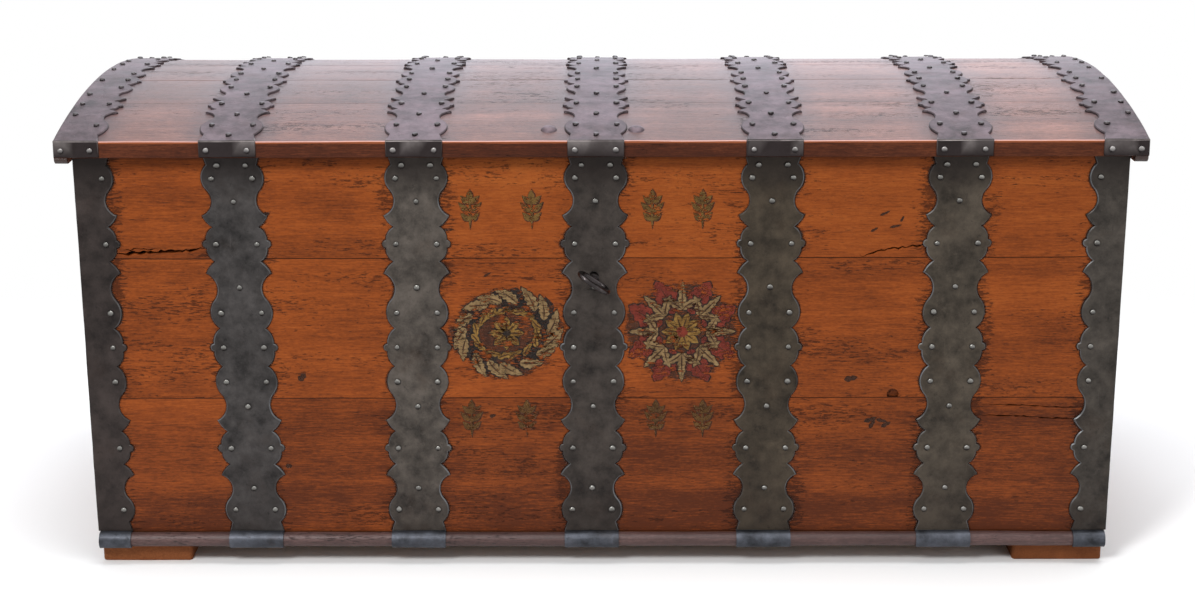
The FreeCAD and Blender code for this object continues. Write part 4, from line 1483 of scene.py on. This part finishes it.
class Paint(Enum):
    """The old paints and the colour of knots: a dark and a light shade, the share left and its cover."""

    CREAM = ((0.135, 0.080, 0.034), (0.300, 0.195, 0.088), 0.76, 0.92)
    OCHRE = ((0.130, 0.062, 0.013), (0.300, 0.170, 0.042), 0.72, 0.90)
    OLIVE = ((0.085, 0.044, 0.011), (0.185, 0.102, 0.026), 0.74, 0.88)
    BLACK = ((0.008, 0.006, 0.005), (0.024, 0.015, 0.011), 0.72, 0.93)
    UMBER = ((0.030, 0.012, 0.007), (0.070, 0.026, 0.013), 0.80, 0.80)
    RED = ((0.090, 0.014, 0.009), (0.195, 0.030, 0.016), 0.78, 0.92)
    DULL = ((0.066, 0.030, 0.008), (0.135, 0.064, 0.016), 0.72, 0.80)
    KNOT = ((0.020, 0.008, 0.004), (0.046, 0.017, 0.008), 1.15, 0.84)

    def material(self) -> bpy.types.Material:
        """Return the paint as a material."""
        return PaintFinish(self.name.lower() + "_paint", *self.value).material()


@dataclass
class Painting:
    """Plain painted ornament on the front: two roundels of leaves and eight small sprigs.

    Places and sizes are in millimetres, as x and z on the front. A knot has its place, angle,
    length and width.
    """

    planks: dict[str, bpy.types.Object]
    left: Place = (-134, 347)
    right: Place = (114, 349)
    upper_sprigs: tuple[float, ...] = (-183, -97, 71, 141)
    lower_sprigs: tuple[float, ...] = (-186, -107, 77, 144)
    upper_z: float = 527
    lower_z: float = 220
    knots: dict[str, tuple[tuple[float, ...], ...]] = field(default_factory=lambda: {
        "front_plank_top": ((-222, 497, 5, 17, 5), (-470, 521, 0, 9, 7), (388, 517, 25, 16, 4),
                            (402, 500, 12, 18, 4), (376, 494, 30, 12, 4), (417, 508, 60, 10, 4)),
        "front_plank_middle": ((-431, 277, 45, 15, 11), (345, 277, 12, 20, 10), (-165, 430, 30, 12, 4)),
        "front_plank_bottom": ((375, 214, 20, 20, 7), (383, 204, 60, 16, 7), (392, 218, -15, 18, 6),
                               (400, 206, 30, 16, 7), (-455, 148, 0, 10, 8), (-160, 222, 20, 10, 6))})
    paints: dict[Paint, bpy.types.Material] = field(
        default_factory=lambda: {paint: paint.material() for paint in Paint})
    draw: random.Random = field(default_factory=lambda: random.Random(21))
    outline: float = 2
    layer: float = 0.07 * MM

    def build(self) -> None:
        """Paint the roundels and sprigs, and lay the dark knots of the wood."""
        self.wreath(self.left)
        self.rosette(self.right)
        rows = (("front_plank_top", self.upper_z, self.upper_sprigs, Paint.OLIVE),
                ("front_plank_bottom", self.lower_z, self.lower_sprigs, Paint.DULL))
        for plank, z, places, paint in rows:
            shadows = [leaf for x in places for leaf in self.sprig((x + 0.8, z - 0.8), 2.2)]
            leaves = [leaf for x in places for leaf in self.sprig((x, z), 0.0)]
            self.lay(shadows, plank, plank + "_sprig_shadows", 0.42 * MM, Paint.UMBER)
            self.lay(leaves, plank, plank + "_sprigs", 0.58 * MM, paint)
        for plank, knots in self.knots.items():
            blots = [self.leaf((x, z), angle, length, width, 2) for x, z, angle, length, width in knots]
            self.lay(blots, plank, plank + "_knots", 0.40 * MM, Paint.KNOT)

    def wreath(self, middle: Place) -> None:
        """Paint a wreath of curled leaves round a flower, on a worn dark ground.

        Args:
            middle: its middle.
        """
        plank = "front_plank_middle"
        self.lay([self.oval(middle, 90, 74)], plank, "wreath_ground", 0.36 * MM, Paint.UMBER)
        blots = [self.leaf(self.around(middle, 57, 45, angle - 30), angle + 75, 66, 42, 3)
                 for angle in (15, 80, 165, 235, 310)]
        self.lay(blots, plank, "wreath_blots", 0.44 * MM, Paint.BLACK)
        outer, inner = [], []
        for number in range(15):
            angle = 24 * number + self.draw.uniform(-4, 4)
            length = self.draw.uniform(32, 40)
            outer.append((self.around(middle, 58, 45, angle), angle + 55, length, 17, 5, 0.30))
            inner.append((self.around(middle, 50, 39, angle + 12), angle + 150, 0.66 * length, 10, 3, -0.3))
        self.leaves(inner, plank, "wreath_inner_leaves", 0.50 * MM, Paint.OCHRE)
        self.leaves(outer, plank, "wreath_leaves", 0.60 * MM, Paint.CREAM)
        petals = [(middle, 45 * k, 25, 13, 2, 0.0) for k in range(8)]
        self.leaves(petals, plank, "wreath_flower", 0.60 * MM, Paint.OCHRE)
        self.lay([self.oval(middle, 7, 7)], plank, "wreath_heart", 0.86 * MM, Paint.BLACK)

    def rosette(self, middle: Place) -> None:
        """Paint a red flower with a yellow heart and cream sprays on a brown oval.

        Args:
            middle: its middle.
        """
        plank = "front_plank_middle"
        self.lay([self.oval(middle, 89, 83)], plank, "rosette_ground", 0.36 * MM, Paint.UMBER)
        petals = [(self.around(middle, 30, 28, 45 * k + 22), 45 * k + 22, 54, 36, 5, 0.12 * (-1) ** k)
                  for k in range(8)]
        self.leaves(petals, plank, "rosette_petals", 0.44 * MM, Paint.RED)
        sprays = []
        for number in range(8):
            at = self.around(middle, 34, 32, 45 * number)
            sprays += [(at, 45 * number + lean, length, 12, 4, bend)
                       for lean, length, bend in ((0, 42, 0.0), (42, 30, 0.3), (-42, 30, -0.3))]
        self.leaves(sprays, plank, "rosette_sprays", 0.58 * MM, Paint.CREAM)
        heart = [(middle, 36 * k, 29, 14, 2, 0.0) for k in range(10)]
        self.leaves(heart, plank, "rosette_inner_petals", 0.66 * MM, Paint.OCHRE)
        self.lay([self.oval(middle, 9, 9)], plank, "rosette_heart", 0.92 * MM, Paint.RED)

    def leaves(self, shapes: Sequence[LeafShape], plank: str, name: str, above: float,
               paint: Paint) -> None:
        """Paint leaves with a dark outline below them and dark veins over them.

        Args:
            shapes: the leaves.
            plank: the plank that they are on.
            name: the name of the painted piece.
            above: how far above the plank's face the lowest layer lies.
            paint: the paint of the blades.
        """
        outlines, blades, veins = [], [], []
        for at, angle, length, width, lobes, bend in shapes:
            foot = self.around(at, -self.outline, -self.outline, angle)
            outlines.append(self.leaf(foot, angle, length + 2 * self.outline, width + 5, lobes, bend))
            blades.append(self.leaf(at, angle, length, width, lobes, bend))
            veins.append(self.leaf(at, angle, 0.8 * length, 2.2, 1, 0.8 * bend))
        self.lay(outlines, plank, name + "_outlines", above, Paint.BLACK)
        self.lay(blades, plank, name, above + self.layer, paint)
        self.lay(veins, plank, name + "_veins", above + 2 * self.layer, Paint.UMBER)

    @staticmethod
    def around(middle: Place, half_width: float, half_height: float, angle: float) -> Place:
        """Return the place at an angle on an oval."""
        turn = math.radians(angle)
        return middle[0] + half_width * math.cos(turn), middle[1] + half_height * math.sin(turn)

    def sprig(self, at: Place, grow: float) -> list[bpy.types.Object]:
        """Draw a small upright twig with pairs of leaves.

        Args:
            at: its middle.
            grow: how much larger than usual all of it is.

        Returns:
            Its leaves.
        """
        parts = [self.leaf((at[0], at[1] - 28 - grow / 2), 90, 46 + grow, 3.5 + grow, 1),
                 self.leaf((at[0], at[1] + 11), 90, 17 + grow, 9 + grow, 1)]
        for height, length in ((-16, 17), (-4, 21), (8, 17)):
            parts += [self.leaf((at[0], at[1] + height), angle, length + grow / 2, 8 + grow, 1, bend)
                      for angle, bend in ((28, 0.25), (152, -0.25))]
        return parts

    @staticmethod
    def leaf(at: Place, angle: float, length: float, width: float, lobes: int, bend: float = 0.0,
             steps: int = 22) -> bpy.types.Object:
        """Draw a flat lobed leaf.

        Args:
            at: the foot of its stem.
            angle: the way it grows, in degrees from the right.
            length: from the foot to the tip.
            width: at its widest.
            lobes: how many lobes either edge has.
            bend: how far the tip curls to the side, as a share of the length.
            steps: how many points either edge has.

        Returns:
            The leaf.
        """
        along = np.linspace(0, 1, steps)
        half = 0.5 * width * np.sin(np.pi * along ** 0.8) ** 0.75
        half *= 0.60 + 0.40 * np.abs(np.sin(np.pi * lobes * along))
        spine = bend * length * along ** 2
        x = np.concatenate([along, along[-2:0:-1]]) * length
        y = np.concatenate([spine + half, (spine - half)[-2:0:-1]])
        turn = math.radians(angle)
        points = [(at[0] + a * math.cos(turn) - b * math.sin(turn), PAINT_Y,
                   at[1] + a * math.sin(turn) + b * math.cos(turn)) for a, b in zip(x, y)]
        mesh = bpy.data.meshes.new("leaf")
        mesh.from_pydata([Vector(p) * MM for p in points], [], [range(len(points))])
        shape = put("leaf", mesh)
        stamp(shape, "fade", 1.0)
        return shape

    @staticmethod
    def oval(at: Place, half_width: float, half_height: float) -> bpy.types.Object:
        """Draw an oval ground, cut fine enough to follow the plank, that fades at its edge.

        Args:
            at: its middle.
            half_width: half of its width.
            half_height: half of its height.

        Returns:
            The oval.
        """
        shape = primitive("circle", vertices=56, radius=1, fill_type="NGON")
        place = Matrix.Translation(Vector((at[0], PAINT_Y, at[1])) * MM)
        scale = Matrix.Diagonal((half_width * MM, half_height * MM, 1, 1))
        shape.data.transform(place @ Matrix.Rotation(math.pi / 2, 4, "X") @ scale)
        for axis in (0, 2):
            cut_across(shape, axis, max(half_width, half_height) * MM / 6)
        middle, size = Vector((at[0], at[1])) * MM, Vector((half_width, half_height)) * MM
        shade(shape, "fade", lambda v: min(1.0, 6 * (1 - math.hypot((v.co.x - middle.x) / size.x,
                                                                    (v.co.z - middle.y) / size.y))))
        return shape

    def lay(self, shapes: Sequence[bpy.types.Object], plank: str, name: str, above: float,
            paint: Paint) -> None:
        """Lay painted shapes on a plank, a little above its uneven face.

        Args:
            shapes: the shapes, which are used up.
            plank: the plank.
            name: the name of the painted piece.
            above: how far above the face it lies.
            paint: its paint.
        """
        coat = join(shapes, name)
        modify(coat, "SHRINKWRAP", target=self.planks[plank], wrap_method="PROJECT", use_project_y=True,
               use_positive_direction=True, use_negative_direction=False, offset=0)
        coat.data.transform(Matrix.Translation((0, -above, 0)))
        settle(coat, Body.CHEST, "wall_wood", self.paints[paint])


# Iron fittings

@dataclass
class FrontIron:
    """The scalloped straps of the front, with the corner straps of all four corners."""

    ironwork: Ironwork
    heads: NailHeads
    lid_edge: float = field(default_factory=lambda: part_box("lid_strap_4")[0].z)
    shadow: float = 42 * MM
    darkest: float = 0.85
    foot: float = 46 * MM
    foot_darkness: float = 0.42
    foot_darkness_height: float = 150 * MM
    turned: float = 0.05

    def build(self) -> None:
        """Build the straps and their nails."""
        nails = nail_places("front_nails")
        others = nail_places("back_and_end_nails")
        tints = {1: (0.041, 0.037, 0.036), 2: (0.064, 0.054, 0.046), 3: (0.037, 0.030, 0.026),
                 4: (0.042, 0.032, 0.022), 5: (0.050, 0.040, 0.030)}
        # Dark borders beside the straps: iron stain and painted contact shadow
        stain = StainAndShadowFinish("front_iron_stain_and_shadow", (0.012, 0.007, 0.005)).material()
        for number, tint in tints.items():
            node = "front_strap_%d" % number
            piece = self.ironwork.strap(node, [FRONT_OUT], nails, (0, 2))
            # Painted shadow of the lid on the straps' tops, and darker towards their feet
            shade(piece, "shade_and_darkening", self.dirt_and_shade)
            iron = IronFinish(node + "_iron", tint).material()
            settle(piece, Body.CHEST, "strap_iron", iron, node)
            border = self.ironwork.stain(node, lambda run: abs(run.side.x) > self.turned)
            settle(border, Body.CHEST, "wall_wood", stain)
        self.corners(nails + others, stain)
        finish = IronFinish("front_nail_iron", (0.024, 0.021, 0.019), (0.277, 0.271, 0.254), 0.85,
                            brown=0.2, gloss=0.30, metal=0.88, dents=0.2).material()
        front_heads = self.heads.drive(nails, "front_nail_heads", 11)
        settle(front_heads, Body.CHEST, "nail_iron", finish, "front_nails")
        other_heads = self.heads.drive(others, "back_and_end_nail_heads", 12)
        settle(other_heads, Body.CHEST, "nail_iron", finish, "back_and_end_nails")

    def dirt_and_shade(self, vertex: bpy.types.MeshVertex) -> float:
        """Tell how dark the iron is painted: a painted shadow below the overhanging lid, and darker towards
        its foot.

        Args:
            vertex: a point of the iron.

        Returns:
            The darkness at the point.
        """
        # Painted shadow under the lid above, and plain darkening towards the foot below
        above = (vertex.co.z - self.lid_edge) / self.shadow + 1
        below = self.foot_darkness * (1 - (vertex.co.z - self.foot) / self.foot_darkness_height)
        return max(0.0, min(self.darkest, max(above, below)))

    def corners(self, nails: Sequence[NailPlace], stain: bpy.types.Material) -> None:
        """Build the four corner straps, the left ones darker.

        Args:
            nails: all nails of the chest's sides.
            stain: the material of the dark border on the wood, an iron stain and painted contact shadow.
        """
        black = IronFinish("brown_black_iron", (0.029, 0.022, 0.020), (0.086, 0.083, 0.083))
        grey = IronFinish("corner_iron", (0.045, 0.038, 0.032))
        shown = {"left": black.material(), "right": grey.material()}
        for end, out in (("front", -1), ("back", 1)):
            for side, way in (("left", -1), ("right", 1)):
                node = "corner_strap_%s_%s" % (end, side)
                outs = [Vector((0, out, 0)), Vector((way, 0, 0))]
                piece = self.ironwork.strap(node, outs, nails, (0, 1, 2))
                # Painted shadow of the lid on the straps' tops, and darker towards their feet
                shade(piece, "shade_and_darkening", self.dirt_and_shade)
                settle(piece, Body.CHEST, "strap_iron", shown[side], node)
                border = self.ironwork.stain(
                    node, lambda run: min(run.side.x * way, run.side.y * out) < -self.turned)
                settle(border, Body.CHEST, "wall_wood", stain)


@dataclass
class LidIron:
    """The straps over the lid, with their bent ends, nails and the staple's two bolts."""

    ironwork: Ironwork
    heads: NailHeads
    ahead: float = 0.5 * MM
    bend_back: float = 2 * MM
    bend_drop: float = 2.5 * MM
    scallop_edge_shade: float = 0.55

    def build(self) -> None:
        """Build the straps and their nails."""
        nails = nail_places("lid_nails")
        # Its rub colour gives the painted highlight at the bends
        violet = IronFinish("violet_grey_iron", (0.081, 0.060, 0.069), (0.181, 0.159, 0.155), 0.3,
                            gloss=0.50).material()
        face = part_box("lid_board_1")[0].y
        for number in range(1, 8):
            node = "lid_strap_%d" % number
            piece = self.ironwork.strap(node, [UP, FRONT_OUT], nails, (0, 1))
            # The front faces of the bent ends are darkened all over
            shade(piece, "shade_and_darkening", lambda v: float(v.co.y < face - self.ahead))
            self.bend_highlight_and_edge_shade(piece, face)
            settle(piece, Body.LID, "lid_iron", violet, node)
        finish = IronFinish("lid_nail_iron", (0.034, 0.028, 0.030), (0.344, 0.327, 0.318), 0.8, brown=0.2,
                            gloss=0.42, metal=0.75, dents=0.2).material()
        lid_heads = self.heads.drive(nails, "lid_nail_heads", 13)
        settle(lid_heads, Body.LID, "nail_iron", finish, "lid_nails")
        dress("staple_bolts", violet)

    def bend_highlight_and_edge_shade(self, piece: bpy.types.Object, face: float) -> None:
        """Keep a strap's rubbed rim as a painted highlight where it bends over the lid's edge, and turn it
        into painted shade along its other edges.

        Args:
            piece: the strap.
            face: the place of the lid's front face.
        """
        rim, shade_and_darkening = (piece.data.attributes[name].data for name in ("rim", "shade_and_darkening"))
        top = max(v.co.z for v in piece.data.vertices if v.co.y < face - self.ahead)
        for vertex in piece.data.vertices:
            # Away from the bend the rim becomes painted shade along the edges
            if vertex.co.y > face + self.bend_back or vertex.co.z < top - self.bend_drop:
                dark = self.scallop_edge_shade * rim[vertex.index].value
                shade_and_darkening[vertex.index].value = max(shade_and_darkening[vertex.index].value, dark)
                rim[vertex.index].value = 0.0


@dataclass
class Base:
    """The rounded moulding along the foot of the front, and its iron clips."""

    carpentry: Carpentry
    ironwork: Ironwork
    ease: float = 0.8 * MM
    clip_ease: float = 0.7 * MM

    def build(self) -> None:
        """Build the moulding and clips."""
        wood = WoodFinish("rubbed_moulding_wood", (0.022, 0.011, 0.010), (0.072, 0.038, 0.035),
                          (0.170, 0.100, 0.094), gloss=0.45, shine=0.35).material()
        moulding = self.carpentry.board("base_moulding", (0,), ease=self.ease)
        settle(moulding, Body.CHEST, "moulding_wood", wood, "base_moulding")
        iron = IronFinish("rubbed_clip_iron", (0.052, 0.056, 0.068), contrast=0.7, brown=0.4).material()
        clips = self.ironwork.plate("moulding_clips", self.clip_ease, (0,))
        settle(clips, Body.CHEST, "clip_iron", iron, "moulding_clips")


@dataclass
class Fittings:
    """The hinges, lock, handles and key."""

    ironwork: Ironwork
    ease: float = 0.7 * MM
    sheet_ease: float = 0.5 * MM

    def build(self) -> None:
        """Dress the fittings, and round the edges of the flat ones."""
        dark = IronFinish("dark_fitting_iron", (0.034, 0.030, 0.028))
        lock = IronFinish("lock_sheet_iron", (0.044, 0.042, 0.040), dents=0.5)
        steel = IronFinish("handled_key_steel", (0.046, 0.040, 0.040), brown=0.5, gloss=0.28,
                           metal=0.95, dents=0.3)
        fitting, sheet = dark.material(), lock.material()
        for side in ("left", "middle", "right"):
            node = "hinge_strap_" + side
            settle(self.ironwork.plate(node, self.ease), Body.CHEST, "strap_iron", fitting, node)
        for side in ("left", "right"):
            node = side + "_handle_plate"
            settle(self.ironwork.plate(node, self.ease), Body.CHEST, "handle_iron", fitting, node)
            dress(side + "_handle", fitting)
        for node in ("lock_plate", "lock_cover"):
            settle(self.ironwork.plate(node, self.sheet_ease), Body.CHEST, "lock_iron", sheet, node)
        for node in ("lock_bolt", "lock_bolt_guides", "lock_spring", "lock_staple", "lock_nails"):
            dress(node, sheet)
        dress("hinge_pins", fitting)
        dress("key", steel.material())


# Studio

@dataclass
class Studio:
    """Pale floor, soft light and the camera of the photograph."""

    camera_place: Vector = Vector((0.00483, -3.1858, 1.21264))
    pitch: float = math.radians(15.812)
    yaw: float = 0.0035
    roll: float = -0.00265
    lens: float = 64.176
    sensor: float = 36
    floor_size: float = 60
    floor_fade: tuple[float, float] = (0.8, 0.1)
    soft_light: Colour = (0.28, 0.29, 0.30)

    def build(self) -> None:
        """Set the stage."""
        self.floor()
        self.world()
        self.light("key_light", (-1.1, -2.4, 2.4), (0, 0, 0.40), 0.9, 67)
        self.light("top_light", (0.3, 0.0, 3.6), (0, 0, 0.5), 3.2, 126)
        self.light("fill_light", (2.4, -2.8, 1.4), (0, 0, 0.35), 2.4, 20)
        self.light("sky_light", (0.1, 4.2, 2.2), (0, 0, 0.6), 4.2, 85, (0.80, 0.83, 0.97))
        self.camera()
        bpy.context.scene.view_settings.view_transform = "Standard"

    def floor(self) -> None:
        """Lay a pale floor that runs out of sight and takes the shadow."""
        plane = primitive("plane", size=self.floor_size, location=(0, 0, 0))
        plane.name = "floor"
        shader = Shader("pale_floor")
        x, y, _ = shader.axes()
        away = (abs(x) - 0.75).most(abs(y) - 0.36)
        pale = shader.finish(Base_Color=(0.94, 0.94, 0.94), Roughness=0.95, Specular_IOR_Level=0.0,
                             Alpha=away.step(*self.floor_fade))
        plane.data.materials.append(pale)

    def world(self) -> None:
        """Show a white backdrop to the camera and in reflections, and a softer one to the light."""
        world = bpy.data.worlds.new("studio")
        bpy.context.scene.world = world
        world.use_nodes = True
        tree = world.node_tree
        tree.nodes.clear()
        rays = tree.nodes.new("ShaderNodeLightPath")
        soft, white = (tree.nodes.new("ShaderNodeBackground") for _ in range(2))
        soft.inputs["Color"].default_value = (*self.soft_light, 1)
        white.inputs["Color"].default_value = (1, 1, 1, 1)
        mix = tree.nodes.new("ShaderNodeMixShader")
        out = tree.nodes.new("ShaderNodeOutputWorld")
        shown = rays.outputs["Is Camera Ray"]
        for kind in ("Is Glossy Ray", "Is Transmission Ray"):
            either = tree.nodes.new("ShaderNodeMath")
            either.operation = "MAXIMUM"
            tree.links.new(shown, either.inputs[0])
            tree.links.new(rays.outputs[kind], either.inputs[1])
            shown = either.outputs[0]
        tree.links.new(shown, mix.inputs[0])
        tree.links.new(soft.outputs[0], mix.inputs[1])
        tree.links.new(white.outputs[0], mix.inputs[2])
        tree.links.new(mix.outputs[0], out.inputs["Surface"])

    @staticmethod
    def light(name: str, place: tuple[float, float, float], aim: tuple[float, float, float],
              size: float, power: float, colour: Colour = (1.0, 1.0, 1.0)) -> None:
        """Hang a large soft lamp.

        Args:
            name: its name.
            place: where it hangs.
            aim: the point that it looks at.
            size: how wide it is.
            power: how strong it is, in watts.
            colour: its colour.
        """
        lamp = bpy.data.lights.new(name, "AREA")
        lamp.color = colour
        lamp.shape = "DISK"
        lamp.size = size
        lamp.energy = power
        holder = put(name, lamp)
        holder.location = place
        holder.rotation_euler = (Vector(aim) - Vector(place)).to_track_quat("-Z", "Y").to_euler()

    def camera(self) -> None:
        """Place the camera as fitted to the photograph."""
        data = bpy.data.cameras.new("photo_camera")
        data.sensor_width = self.sensor
        data.lens = self.lens
        holder = put("photo_camera", data)
        turn = (Matrix.Rotation(self.yaw, 4, "Z") @ Matrix.Rotation(math.pi / 2 - self.pitch, 4, "X")
                @ Matrix.Rotation(self.roll, 4, "Z"))
        holder.matrix_world = Matrix.Translation(self.camera_place) @ turn
        bpy.context.scene.camera = holder


def main() -> None:
    """Build the chest in order, then the studio."""
    logging.basicConfig(level=logging.INFO, format="%(message)s")
    carpentry, ironwork, heads = Carpentry(), Ironwork(), NailHeads()
    fronts = Carcass(carpentry).build()
    Lid(carpentry).build()
    FrontIron(ironwork, heads).build()
    LidIron(ironwork, heads).build()
    Base(carpentry, ironwork).build()
    Fittings(ironwork).build()
    Painting(fronts).build()
    Studio().build()


if __name__ == "__main__":
    main()
